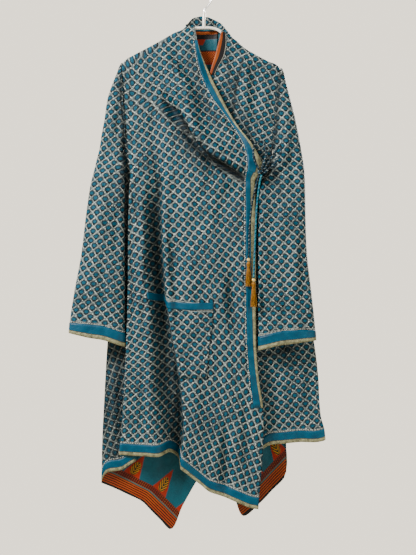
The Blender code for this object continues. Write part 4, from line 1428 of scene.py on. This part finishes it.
# The overlapping right front, with its borders and pocket
frontCreases = (  # x and z of both ends, bend, width, and how far it stands out (in if negative)
    (-123, -440, -80, -1120, 0, 17, -7), (-93, -500, -48, -1120, 5, 8, 5),
    (-146, -520, -120, -1090, 0, 14, 4), (-106, -252, -34, -388, -4, 15, -10),
    (-50, -352, 44, -434, 6, 12, -8), (-20, -414, 112, -482, -3, 11, -10),
    (-36, -322, 20, -398, 6, 13, 4), (0, -394, 112, -452, -3, 11, 6),
    (-172, -485, -160, -540, 3, 6, 2.4), (-171, -545, -164, -600, -3, 5, -2.2),
    (-168, -600, -172, -690, 3, 6, 2.4), (-70, -190, 30, -372, -12, 16, -4.0),
    (-120, -205, 30, -330, 14, 17, -4.0), (-20, -170, 20, -262, -6, 12, -4.5),
    (-128, -226, -20, -310, 8, 10, 3.4), (26, -290, 96, -410, -6, 11, -4.0),
    (-100, -168, -40, -236, 5, 11, 3.0), (30, -419, 58, -410, 2, 6, -3.2),
    (76, -470, 30, -600, 10, 20, -4.0), (10, -450, -36, -560, 6, 16, 3.0),
    (-20, -470, -40, -640, -12, 22, -4.4), (60, -680, 72, -810, 4, 12, -5.0),
    (86, -640, 96, -830, 3, 9, 3.0), (-30, -620, -18, -830, 8, 24, 4.0),
    (20, -850, 34, -1060, -8, 20, -4.0), (50, -1030, 54, -1190, 3, 11, -6.0),
    (84, -830, 104, -980, 6, 14, 3.6), (90, -960, 98, -1180, -6, 12, -4.0),
    (-20, -860, 0, -1130, 8, 16, 4.0), (-128, -620, -132, -860, 4, 9, -3.4),
    (-158, -560, -150, -700, 4, 8, 3.0), (-150, -700, -160, -960, -5, 9, 3.0),
    (-132, -880, -140, -1070, 3, 9, -3.6), (-204, -880, -206, -1140, 4, 12, 4.0),
    (-222, -860, -220, -1100, 3, 8, -3.0),
)
rightFrontRows = dict(  # print angles by depth below the hook, and the rows where the drape's hollow lies
    cowlEnd=15, cowlStart=9, settled=21, lower=29, chest=(2, 17),
    main=((469, 560, 745, 850, 900, 960, 1021), (4, 6, 7, 4, -6, -19, -25)),
    side=((500, 900, 1050), (-20, 26, 23)), pleat=((520, 580, 842, 900, 940), (16, 21, 25, 5, -5)),
)
printCalm = 0.7  # the share of the folds' depth that the print doesn't follow
drapeShade = dict(below=0.4, tall=0.7, column=8, left=-122, half=-88)  # the dark row under the drape
frontShades = (  # x, z and width along each soft shade, then how dark it is
    (((-92, -288, 6), (-64, -311, 11), (-47, -338, 18), (-36, -372, 27), (-12, -402, 30), (18, -421, 25),
      (52, -444, 15), (86, -462, 8)), 0.84),
    (((-30, -165, 12), (-20, -205, 20), (-4, -262, 20), (14, -312, 13), (40, -350, 6)), 0.5),
    (((-190, -215, 6), (-184, -290, 8), (-177, -380, 8), (-174, -500, 6)), 0.6),
)


def hemOf(column, hems):
    before, after, share = column
    return hems[before] + (hems[after] - hems[before]) * share


def shoulderCalm(grid, side, reach=24, drop=40):  # no creases beside a seam or over the hanger
    x, z = grid[..., 0], grid[..., 2]
    inset = np.abs(straight(sides, side, z) - x)
    shoulder = [(abs(edge), height) for edge, height in zip(sides[side], sides["height"]) if height > -222]
    line = np.interp(np.abs(x), *zip(*sorted(shoulder)))
    return eased(inset / reach) * eased((line - z) / drop + 0.05)


def spread(values, rows, columns):  # an angle for each row, the same all along it
    return np.broadcast_to(np.array(values, float)[:, None], (rows, columns))


frontColumns = spansToColumns(rightFrontSpans, "side")
frontAcross = len(frontColumns) - 1
hollowHem = -1093  # the hem is caught up between the pleat and the ridge
frontHems = [hemOf(column, rightFrontHem) for column in frontColumns]
frontHems[frontColumns.index(("pleatRight", "valley", 0.5))] = hollowHem
frontHeights = [rightFrontHeights(column, hem) for column, hem in zip(frontColumns, frontHems)]
frontLast = len(frontHeights[0]) - 1
frontCoarse = gridOf(
    frontAcross, frontLast, lambda column, row: rightFront(frontColumns[column], frontHeights[column][row])
)
steps = clothSizes["steps"]
frontGrid = refined(frontCoarse, steps)
frontGrid = creased(frontGrid, frontCreases, calm=shoulderCalm(frontGrid, "right"))
tuck = frontColumns.index(("side", "tuck", 1.0))
pleat = frontColumns.index(("tuck", "pleatLeft", 1.0))
pleatEnd = frontColumns.index(("pleatLeft", "pleatRight", 1.0))


def addRightFront():  # the print turns with the drape, and with the pleat
    heights = frontCoarse[..., 2]
    columns = heights.shape[1]
    cowlEnd, settled = rightFrontRows["cowlEnd"], rightFrontRows["settled"]
    angles = np.interp(-heights, *rightFrontRows["main"])
    angles[:cowlEnd + 1] = np.linspace(*rightFrontRows["chest"], cowlEnd + 1)[:, None]
    below = np.linspace(1, 0, settled - cowlEnd)[:, None] * np.linspace(1, 0, columns)[None, :] ** 0.6
    angles[cowlEnd + 1:settled + 1] += rightFrontRows["chest"][1] * below
    angles[:, :tuck + 1] = np.interp(-heights[:, :tuck + 1], *rightFrontRows["side"])
    angles[settled:, tuck + 1:pleatEnd + 3] = np.interp(
        -heights[settled:, tuck + 1:pleatEnd + 3], *rightFrontRows["pleat"])
    slits = ((0, cowlEnd, slice(rightFrontRows["cowlStart"], None)), (1, slice(settled, None), tuck))
    across = lengthsAlong(frontGrid, 1)
    band = across[:, (frontAcross - 1) * steps][:, None]
    edge = band - across + edgingAway["band"]
    low = rightFrontRows["lower"] * steps
    edge[low:] = across[low:, -1:] - across[low:] + edgingAway["frontEdge"]
    fall = lengthsAlong(frontGrid, 0)
    hem = fall[(frontLast - 1) * steps] - fall
    rowOrder, columnOrder = np.mgrid[:len(frontGrid), :frontGrid.shape[1]] / steps
    s, x = drapeShade, frontGrid[..., 0]
    # Painted shadow along the row beneath the drape's overhang, fading out towards the left
    under = np.exp(-((rowOrder - cowlEnd - s["below"]) / s["tall"]) ** 2)
    under *= eased((columnOrder - s["column"]) / 3)
    under *= eased((x - s["left"]) / 36) * (0.5 + 0.5 * eased((x - s["half"]) / 45))
    shades = [under] + [shadeAlong(frontGrid, route, depth) for route, depth in frontShades]
    calmer = frontCoarse.copy()  # the print is laid as if the drape and the deep folds were shallower
    drape = eased((-150 - heights) / 40) * eased((heights + 520) / 60)
    calmer[..., 1] *= 1 - printCalm * np.maximum(drape, np.clip((np.arange(columns) - tuck - 1) / 3, 0, 1))
    layers = dict(
        cloth=printOver(calmer, angles, steps, slits=slits), borders=borderLayer(edge, hem),
        hollows=withPaintedShades(paintedShadesOf(frontGrid, seams=["right"]), shades),
    )
    return addPanel("rightFrontSilk", frontGrid, layers, "front_right")


def bandOf(grid, first, end, top, foot):
    return grid[int(top * steps):int(foot * steps) + 1, first * steps:end * steps + 1]


rightFrontPiece = addRightFront()
hemRows = (frontLast - 1, frontLast)
edgeColumns = (frontAcross - 1, frontAcross)
neckTeal = ((150, 185, 205, 240, 400, 470), (1, 0.98, 0.76, 0.62, 0.6, 0.56))  # the plain share, by depth
edgeTeal = ((470, 640, 814, 975), (0.5, 0.5, 0.64, 0.76))
frontBands = [
    addBand("sideHemBorder", bandOf(frontGrid, 0, tuck, *hemRows), False, "hem_band_side"),
    addBand("frontHemBorder", bandOf(frontGrid, pleat, frontAcross, *hemRows), False, "hem_band_front"),
    addBand("neckBorder", bandOf(frontGrid, *edgeColumns, *neckBandRows), True, "neck_band", teal=neckTeal),
    addBand("frontEdgeBorder", bandOf(frontGrid, *edgeColumns, *edgeBandRows), True, "front_edge_band",
            teal=edgeTeal),
]


def pocketGrid(rows, place, lift, first):
    end = frontColumns.index(("ridge", "middle", 1.0))

    def spot(column, row):
        share = column / (end - first)
        z = place(read(pocketTop, "height", share, "share"), row)
        return rightFront(frontColumns[first + column], z)

    coarse = gridOf(end - first, rows, spot)
    fine = creased(refined(coarse, steps), frontCreases)
    return coarse, fine + outward(fine) * lift


pocketCoarse, pocketFine = pocketGrid(
    len(pocketRows), lambda top, row: top if row == 0 else pocketRows[row - 1], clothSizes["pocketLift"],
    frontColumns.index(("pleatRight", "valley", 1.0)) + 1,
)
down = lengthsAlong(pocketFine, 0)
pocketLayers = dict(
    cloth=printOver(pocketCoarse, spread([-84] * len(pocketCoarse), *pocketCoarse.shape[:2]), steps),
    borders=borderLayer(np.full_like(down, edgingAway["pocket"]), down - pocketBand),
    hollows=paintedShadesOf(pocketFine),
)
pocketPiece = addPanel("pocketSilk", pocketFine, pocketLayers, "pocket", inner=None)
bandFine = pocketGrid(1, lambda top, row: top - pocketBand * row, 0, pleatEnd)[1]
pocketBorder = addBand("pocketBorder", bandFine, False, "pocket_band",
                       lift=clothSizes["pocketLift"] + clothSizes["bandLift"], teal=1.04)
print("right front made")


# The left front beneath, with its turned-out neck edge
underCreases = (
    (50, -190, 92, -300, 6, 12, 2.6), (110, -200, 120, -330, -5, 12, -2.8),
    (146, -240, 132, -380, 5, 11, 2.2), (180, -830, 190, -940, 4, 12, -3.2),
    (214, -850, 226, -1030, -5, 12, 3.0), (160, -900, 170, -1040, 5, 10, -2.4),
    (240, -880, 252, -1000, 3, 9, -2.2), (120, -160, 134, -230, -3, 9, -1.8),
)
leftPrintTurns = ((160, 228, 300, 380, 470, 800, 860, 1000), (-10, -14, -22, -12, 7, 8, 11, 6))
underShades = (
    (((132, -868, 8), (168, -864, 10), (198, -857, 8), (224, -848, 4)), 0.92),  # the gap below the cuff
    (((90, -192, 5), (78, -240, 8), (72, -268, 9), (66, -326, 7)), 0.8),
    (((52, -172, 7), (60, -250, 9), (96, -340, 10), (120, -410, 10)), 0.55),
)
underColumns = spansToColumns(leftFrontSpans, "edge")
underAcross = len(underColumns) - 1
underLast = len(leftFrontRows) - 1 + fanRows
underCoarse = gridOf(underAcross, underLast, lambda column, row: leftFront(
    underColumns[column], rowHeight(leftFrontRows, hemOf(underColumns[column], leftFrontHem), row)))
underGrid = refined(underCoarse, steps)
underGrid = creased(underGrid, underCreases, calm=shoulderCalm(underGrid, "left"))


def addLeftFront():
    angles = np.interp(-underCoarse[:, 3, 2], *leftPrintTurns) - 90
    across, fall = lengthsAlong(underGrid, 1), lengthsAlong(underGrid, 0)
    shades = [shadeAlong(underGrid, route, depth) for route, depth in underShades]
    layers = dict(
        cloth=printOver(underCoarse, spread(angles, *underCoarse.shape[:2]), steps),
        borders=borderLayer(across + edgingAway["frontEdge"], fall[(underLast - 1) * steps] - fall),
        hollows=withPaintedShades(paintedShadesOf(underGrid, seams=["left"]), shades),
    )
    return addPanel("leftFrontSilk", underGrid, layers, "front_left")


leftFrontPiece = addLeftFront()
leftHem = bandOf(underGrid, 3, underAcross, underLast - 1, underLast)
turnedOut = bandOf(underGrid, 0, 1, 2, leftFrontRows.index(-228))
leftBands = [
    addBand("leftHemBorder", leftHem, False, "hem_band_left"),
    addBand("neckFacing", turnedOut, True, "neck_facing", "facing", "lining"),
]
print("left front made")


# The back, its hem lining, the neck lining and the standing collar
backCreases = (
    (-60, -170, -120, -420, 14, 22, -3.0), (40, -170, 90, -420, -12, 22, -3.0),
    (-10, -150, -16, -330, 5, 18, 2.6), (-150, -330, -176, -640, -8, 14, 3.0),
    (130, -330, 170, -640, 8, 14, 3.0), (-100, -460, -120, -900, 16, 18, 3.4),
    (-40, -520, -60, -1000, -14, 16, -3.4), (20, -480, 30, -960, 10, 18, 3.4),
    (90, -560, 110, -1080, -12, 15, -3.4), (170, -640, 216, -1040, 9, 13, 2.8),
    (-180, -700, -196, -1120, 7, 12, -2.8), (-80, -900, -96, -1240, -6, 13, 3.0),
    (60, -960, 64, -1190, 5, 12, 2.8), (150, -980, 170, -1140, -5, 11, -2.6),
    (-140, -960, -150, -1200, 5, 11, -2.8),
)
backSpots = backColumns()
backAcross, backLast = len(backSpots) - 1, len(backRows) - 1 + fanRows
backCoarse = gridOf(backAcross, backLast, lambda column, row: back(
    backSpots[column], rowHeight(backRows, backSpots[column][1], row)))
backGrid = refined(backCoarse, steps)
backCalm = shoulderCalm(backGrid, "right", 26, 60) * shoulderCalm(backGrid, "left", 26, 60)
backGrid = creased(backGrid, backCreases, sign=1, calm=backCalm)


def addBack():
    across, fall = lengthsAlong(backGrid, 1), lengthsAlong(backGrid, 0)
    layers = dict(
        cloth=printOver(backCoarse, spread([-90] * (backLast + 1), *backCoarse.shape[:2]), steps),
        borders=borderLayer(across + edgingAway["noEdge"], fall[(backLast - 1) * steps] - fall),
        hollows=paintedShadesOf(backGrid, 1.0, seams=["left", "right"]),
    )
    return addPanel("backSilk", backGrid, layers, "back", flip=True)


backPiece = addBack()
backHemGrid = backGrid[(backLast - 1) * steps:]
backBorder = addBand("backHemBorder", backHemGrid, False, None, lift=-clothSizes["bandLift"])
liningGrid = backGrid[liningTopRow * steps:]
liningGrid = liningGrid + outward(liningGrid) * clothSizes["liningLift"]
flapEdges = (  # x and z along the striped edge of the two hanging corners, and the way the steps point
    (((-330, -1123), (-237, -1168), (-144, -1213), (-80, -1278), (-16, -1343)), 57),
    (((27, -1297), (91, -1247), (131, -1216), (186, -1159), (296, -1045)), 118),
)


def fromEdge(grid, line, lean):  # how far along a line of the X-Z plane each point is, and how far above it
    spots = grid[..., (0, 2)][..., None, :]
    start, end = np.array(line[:-1], float), np.array(line[1:], float)
    lengths = np.linalg.norm(end - start, axis=1)
    ahead = (end - start) / lengths[:, None]
    offset = spots - start
    travel = np.clip((offset * ahead).sum(axis=-1), 0, lengths)
    away = np.linalg.norm(offset - travel[..., None] * ahead, axis=-1).min(axis=-1)
    up = np.array([math.cos(math.radians(lean)), math.sin(math.radians(lean))])
    slant = (offset[..., 0] * up[1] - offset[..., 1] * up[0]) / (ahead[:, 0] * up[1] - ahead[:, 1] * up[0])
    missed = np.abs(slant - np.clip(slant, 0, lengths))
    nearest = missed.argmin(axis=-1)[..., None]
    before = np.insert(np.cumsum(lengths), 0, 0)[:-1]
    return np.stack([np.take_along_axis(slant + before, nearest, axis=-1)[..., 0], away], axis=-1)


rightHalf = liningGrid[:, :, :1] > 26  # where the second corner's own edge takes over
leftMap, rightMap = [fromEdge(liningGrid, *edge) for edge in flapEdges]
liningLayers = dict(cloth=np.where(rightHalf, rightMap, leftMap) * mm)
liningPiece = addCloth(
    "hemLiningSilk", liningGrid, liningLayers, "lining", "lining", "hem_lining", "bandWall",
)


def neckSpot(column, row):
    z = neckLiningRows[row]
    x = neckLiningX[0] + (neckLiningX[1] - neckLiningX[0]) * column / neckLiningColumns
    return x, backDepth(x, z) - neckLiningLift, z


neckGrid = refined(gridOf(neckLiningColumns, len(neckLiningRows) - 1, neckSpot), steps)
neckAcross, neckDown = neckGrid[..., 0] - neckLiningX[0], neckGrid[0, 0, 2] - neckGrid[..., 2]
neckLayers = dict(cloth=borderLayer(neckAcross, neckDown))
neckPiece = addCloth("neckLiningSilk", neckGrid, neckLayers, "neck", "lining", "neck_lining", "bandWall")


def collarSpot(column, row):
    turn = collarShape["turn"][-1] * column / collarSteps
    top = read(collarShape, "top", turn, "turn")
    return (read(collarShape, "x", turn, "turn"), read(collarShape, "y", turn, "turn"),
            collarSeam + (top - collarSeam) * (2 - row) / 2)


collarCoarse = gridOf(collarSteps, 2, collarSpot)
collarGrid = refined(collarCoarse, steps)
collarDown = lengthsAlong(collarGrid, 0)
collarFar, noPaintedShade = collarDown + edgingAway["noEdge"], collarDown * 0
collarLayers = dict(
    cloth=printOver(collarCoarse, spread([-90] * 3, 3, collarSteps + 1), steps),
    borders=borderLayer(collarFar, collarFar), hollows=borderLayer(noPaintedShade, noPaintedShade),
)
collarPiece = addPanel("collarSilk", collarGrid, collarLayers, "collar", inner=None)
print("back and collar made")


# The sleeves: flattened tubes with a border round each cuff
sleeveCreases = dict(
    right=(
        (-188, -239, -196, -400, 3, 9, -4.0), (-236, -300, -228, -460, -7, 14, -3.4),
        (-214, -420, -232, -640, 8, 15, 3.2), (-262, -470, -270, -700, -8, 13, -3.4),
        (-222, -640, -226, -800, 5, 12, -3.0), (-286, -620, -290, -790, 4, 10, 2.6),
        (-200, -520, -204, -700, -4, 9, -2.8), (-246, -380, -262, -520, 6, 10, 2.6),
    ),
    left=(
        (166, -251, 163, -366, 2, 8, -3.6), (200, -389, 209, -515, 4, 10, -4.0),
        (186, -300, 180, -440, -6, 12, 3.0), (160, -520, 156, -720, 6, 14, -3.2),
        (200, -560, 206, -760, -6, 13, 3.2), (222, -600, 232, -790, 4, 9, -2.8),
        (142, -600, 140, -800, 3, 9, 2.6), (178, -680, 182, -830, -4, 10, -3.0),
    ),
)

sleeveTurns = dict(right=((400, 520, 620, 800), (-2, -4, -7, -8)), left=((300, 450, 800), (-2, 3, 4)))
cuffShape = dict(lift=3.0, outer=-2.0, inner=6.5)  # a border wider towards the body, whose hem bows up
underarmDraw = dict(reach=7.0, z=-436, tall=24, wide=14)  # the inner fold is drawn over the underarm


def sleeveSpot(shape, ends, rows, column, row):
    turn = 2 * math.pi * column / sleeveColumns
    innerShare = 0.5 + 0.5 * math.cos(turn)
    end = ends[0] + (ends[1] - ends[0]) * innerShare
    end += cuffShape["lift"] * math.sin(math.pi * min(1, innerShare * 1.2))
    z = rows[row] if row < len(rows) else end
    if row == len(rows):
        z += cuffBand + cuffShape["outer"]
        z += (cuffShape["inner"] - cuffShape["outer"]) * min(1, innerShare * 2)
    outer, inner = read(shape, "outer", z), read(shape, "inner", z)
    centre, half = read(shape, "centre", z), read(shape, "halfDepth", z)
    middle, reach = (outer + inner) / 2, (inner - outer) / 2
    cos, sin = math.cos(turn), math.sin(turn)
    x = middle + reach * math.copysign(abs(cos) ** 0.7, cos)
    y = centre - half * math.copysign(abs(sin) ** 0.75, sin)
    if z > underarm and cos > 0:
        gap = sideDepth("front", z) + sleeveSeamLift
        y = min(y, -gap) if column <= sleeveColumns / 2 else max(y, gap)
    return x, y, z


def addSleeve(side, shape):
    ends = (cuffEnd[side + "Outer"], cuffEnd[side + "Inner"])
    rows = [height for height in shape["height"] if height > sleeveRows[0]] + list(sleeveRows)
    last = len(rows) + 1
    coarse = gridOf(sleeveColumns, last, lambda column, row: sleeveSpot(shape, ends, rows, column, row))
    if side == "right":
        coarse = coarse[:, ::-1]
    grid = refined(coarse, steps, around=True)
    x, y, z = grid[..., 0], grid[..., 1], grid[..., 2]
    s = underarmDraw
    inner = straight(shape, "inner", z)
    tight = np.exp(-((z - s["z"]) / s["tall"]) ** 2) * eased(1 - np.abs(inner - x) / s["wide"])
    x -= s["reach"] * tight * np.sign(shape["inner"][0])
    facing = np.sign(y - straight(shape, "centre", z))
    calm = eased(np.abs(inner - x) / 18) * eased((-250 - z) / 80)
    depth = creased(grid, sleeveCreases[side], calm=calm)[..., 1] - y
    taper = eased(np.abs(straight(shape, "outer", z) - x) / 16)
    y -= depth * facing * taper
    fall = lengthsAlong(grid, 0)
    layers = dict(
        cloth=printOver(coarse, np.interp(-coarse[..., 2], *sleeveTurns[side]) - 90, steps),
        borders=borderLayer(fall + edgingAway["noEdge"], fall[(last - 1) * steps] - fall),
        hollows=paintedShadesOf(grid, facing, seams=[side]),
    )
    name = side + "Sleeve"
    sleeve = addPanel(name + "Silk", grid, layers, "sleeve_" + side, weld=True)
    cuff = addBand(name + "Border", grid[(last - 1) * steps:], False, "cuff_" + side, around=True)
    return sleeve, cuff, grid


rightSleevePiece, rightCuffPiece, rightSleeveGrid = addSleeve("right", rightSleeve)
leftSleevePiece, leftCuffPiece, leftSleeveGrid = addSleeve("left", leftSleeve)
print("sleeves made")


# The hanger and its hook
hangerSizes = dict(tube=7.0, stem=8.0, rim=1.2)
hookArc = dict(start=200, step=5.25, count=41)  # degrees round the open hook
hookStem = [(21, 0, -36), (17, 0, -54), (9.5, 0, -67), (2, 0, -75), (0, 0, -79.5), (0, 0, -86)]


def addHanger():
    bar = tubeMesh("bar", smoothRoute(hangerRoute(), 5), hangerSizes["tube"], around=24)
    shape = bmesh.new()
    height = stemTop - stemFoot
    width = hangerSizes["stem"] / 2 * mm
    bmesh.ops.create_cone(shape, cap_ends=True, segments=32, radius1=width, radius2=width, depth=height * mm)
    rims = [edge for edge in shape.edges if abs(edge.verts[0].co.z - edge.verts[1].co.z) < 1e-6]
    rim = hangerSizes["rim"] * mm
    bmesh.ops.bevel(shape, geom=rims, offset=rim, segments=3, profile=0.5, affect="EDGES", material=-1)
    bmesh.ops.translate(shape, verts=shape.verts, vec=(0, 0, (stemTop + stemFoot) / 2 * mm))
    whole = joined("plasticHanger", [bar, meshOf("stem", shape)])
    return addPiece("plasticHanger", whole, "plastic", "plastic", "hanger")


def addHook():
    centre = hookWire / 2 - hookRadius
    arc = []
    for order in range(hookArc["count"]):
        turn = math.radians(hookArc["start"] - order * hookArc["step"])
        arc.append((hookRadius * math.cos(turn), 0, centre + hookRadius * math.sin(turn)))
    mesh = tubeMesh("hangingHook", smoothRoute(arc + hookStem, 1.6), hookWire)
    return addPiece("hangingHook", mesh, "wire", "wire", "hook")


addHanger()
addHook()
print("hanger made")


# Running stitches just inside every border
stitchSizes = dict(inset=2.4, pitch=5.2, length=2.8, width=1.0, sleeveWidth=0.8, lift=0.75)


def stitchesOn(line, normals):  # short threads spaced along a line of cloth
    travel = np.insert(np.cumsum(np.linalg.norm(np.diff(line, axis=0), axis=1)), 0, 0)
    out = line + normals * stitchSizes["lift"]
    made = []
    for order in range(int(travel[-1] / stitchSizes["pitch"])):
        start = (order + 0.3 + 0.15 * math.sin(order * 2.3)) * stitchSizes["pitch"]
        reach = stitchSizes["length"] * (1 + 0.2 * math.sin(order * 1.7))
        spots = [start + reach * share for share in (0, 0.5, 1)]
        points = [tuple(np.interp(spot, travel, out[:, axis]) for axis in range(3)) for spot in spots]
        made.append((points, False))
    return made


def rowStitches(grid, borderRow, columns, inset=None, sign=1):  # along a hem, a little above its border
    normals, fall = outward(grid) * sign, lengthsAlong(grid, 0)
    inset = stitchSizes["inset"] if inset is None else inset
    line, faces = [], []
    for column in range(*columns):
        want = fall[borderRow, column] - inset
        row = np.interp(want, fall[:, column], range(len(grid)))
        low = min(int(row), len(grid) - 2)
        share = row - low
        line.append(grid[low, column] * (1 - share) + grid[low + 1, column] * share)
        faces.append(normals[low, column])
    return stitchesOn(np.array(line), np.array(faces))


def addStitches(name, made, width=stitchSizes["width"]):
    return addPiece(name, threads(name, made, width), "thread", "print")


frontStitches = rowStitches(frontGrid, (frontLast - 1) * steps, (pleat * steps, frontAcross * steps + 1))
frontStitches += rowStitches(frontGrid, (frontLast - 1) * steps, (0, (tuck - 1) * steps))
edgeColumn = (frontAcross - 1) * steps
for first, last in (neckBandRows, edgeBandRows):
    rows = (int(first * steps), int(last * steps))
    frontStitches += rowStitches(frontGrid.swapaxes(0, 1), edgeColumn, rows, sign=-1)
frontStitchPiece = addStitches("frontStitches", frontStitches)
underStitches = rowStitches(underGrid, (underLast - 1) * steps, (3 * steps, underAcross * steps + 1))
underStitchPiece = addStitches("leftStitches", underStitches)
pocketStitches = rowStitches(pocketFine, int(pocketBand / 60 * steps), (0, pocketFine.shape[1]), inset=-9)
pocketStitchPiece = addStitches("pocketStitches", pocketStitches)
for name, grid in (("rightSleeveStitches", rightSleeveGrid), ("leftSleeveStitches", leftSleeveGrid)):
    made = rowStitches(grid, len(grid) - 1 - steps, (0, grid.shape[1]))
    addStitches(name, made, stitchSizes["sleeveWidth"])
print("stitches made")


def flatArea(grid):
    along, across = np.diff(grid, axis=0)[:, :-1], np.diff(grid, axis=1)[:-1]
    return float(np.linalg.norm(np.cross(along, across), axis=2).sum()) * mm * mm


def flatExtent(grid):  # the cut's greatest width across the cloth and length down it
    across, down = np.diff(grid, axis=1)[..., :2], np.diff(grid, axis=0)[..., 1:]
    sizes = np.linalg.norm(across, axis=2).sum(axis=1).max(), np.linalg.norm(down, axis=2).sum(axis=0).max()
    return [round(float(size) * mm, 3) for size in sizes]


def hangSheet(name, piece, grid):
    print("cut of", name, *flatExtent(grid), round(flatArea(grid), 4))


hangSheet("rightFront", rightFrontPiece, frontGrid)
hangSheet("leftFront", leftFrontPiece, underGrid)
hangSheet("back", backPiece, backGrid)
hangSheet("rightSleeve", rightSleevePiece, rightSleeveGrid)
hangSheet("leftSleeve", leftSleevePiece, leftSleeveGrid)
hangSheet("hemLining", liningPiece, liningGrid)
hangSheet("neckLining", neckPiece, neckGrid)
hangSheet("collar", collarPiece, collarGrid)
print("cloth declared")


# A plain pale floor, a cream studio all round and soft light from the upper left
stageSizes = dict(floor=-1800, floorRadius=1500, aim=(0, 0, -0.55), world=2.4)
stageColours = dict(world=(0.80, 0.73, 0.60, 1), lamp=(1.0, 0.97, 0.92))
stageLamps = (  # power, place in metres and size
    ("key", 940, (-2.2, -1.6, 1.3), 1.1), ("fill", 90, (1.6, -2.2, -0.5), 1.8),
    ("back", 620, (1.9, 2.2, 0.9), 1.4),
)


def addStage():
    shape = bmesh.new()
    bmesh.ops.create_circle(shape, cap_ends=True, segments=96, radius=stageSizes["floorRadius"] * mm)
    bmesh.ops.translate(shape, verts=shape.verts, vec=(0, 0, stageSizes["floor"] * mm))
    mesh = meshOf("studioFloor", shape)
    mesh.materials.append(looks["floor"])
    floor = linked("studioFloor", mesh)
    world = bpy.data.worlds.new("creamStudio")
    world.use_nodes = True
    ground = world.node_tree.nodes["Background"]
    ground.inputs["Color"].default_value = stageColours["world"]
    ground.inputs["Strength"].default_value = stageSizes["world"]
    bpy.context.scene.world = world
    for name, power, spot, size in stageLamps:
        light = bpy.data.lights.new(name + "Light", "AREA")
        light.energy, light.size, light.color = power, size, stageColours["lamp"]
        lamp = linked(name + "Light", light)
        lamp.location = spot
        aim = Vector(stageSizes["aim"]) - Vector(spot)
        lamp.rotation_euler = aim.to_track_quat("-Z", "Y").to_euler()


addStage()
print("stage set")
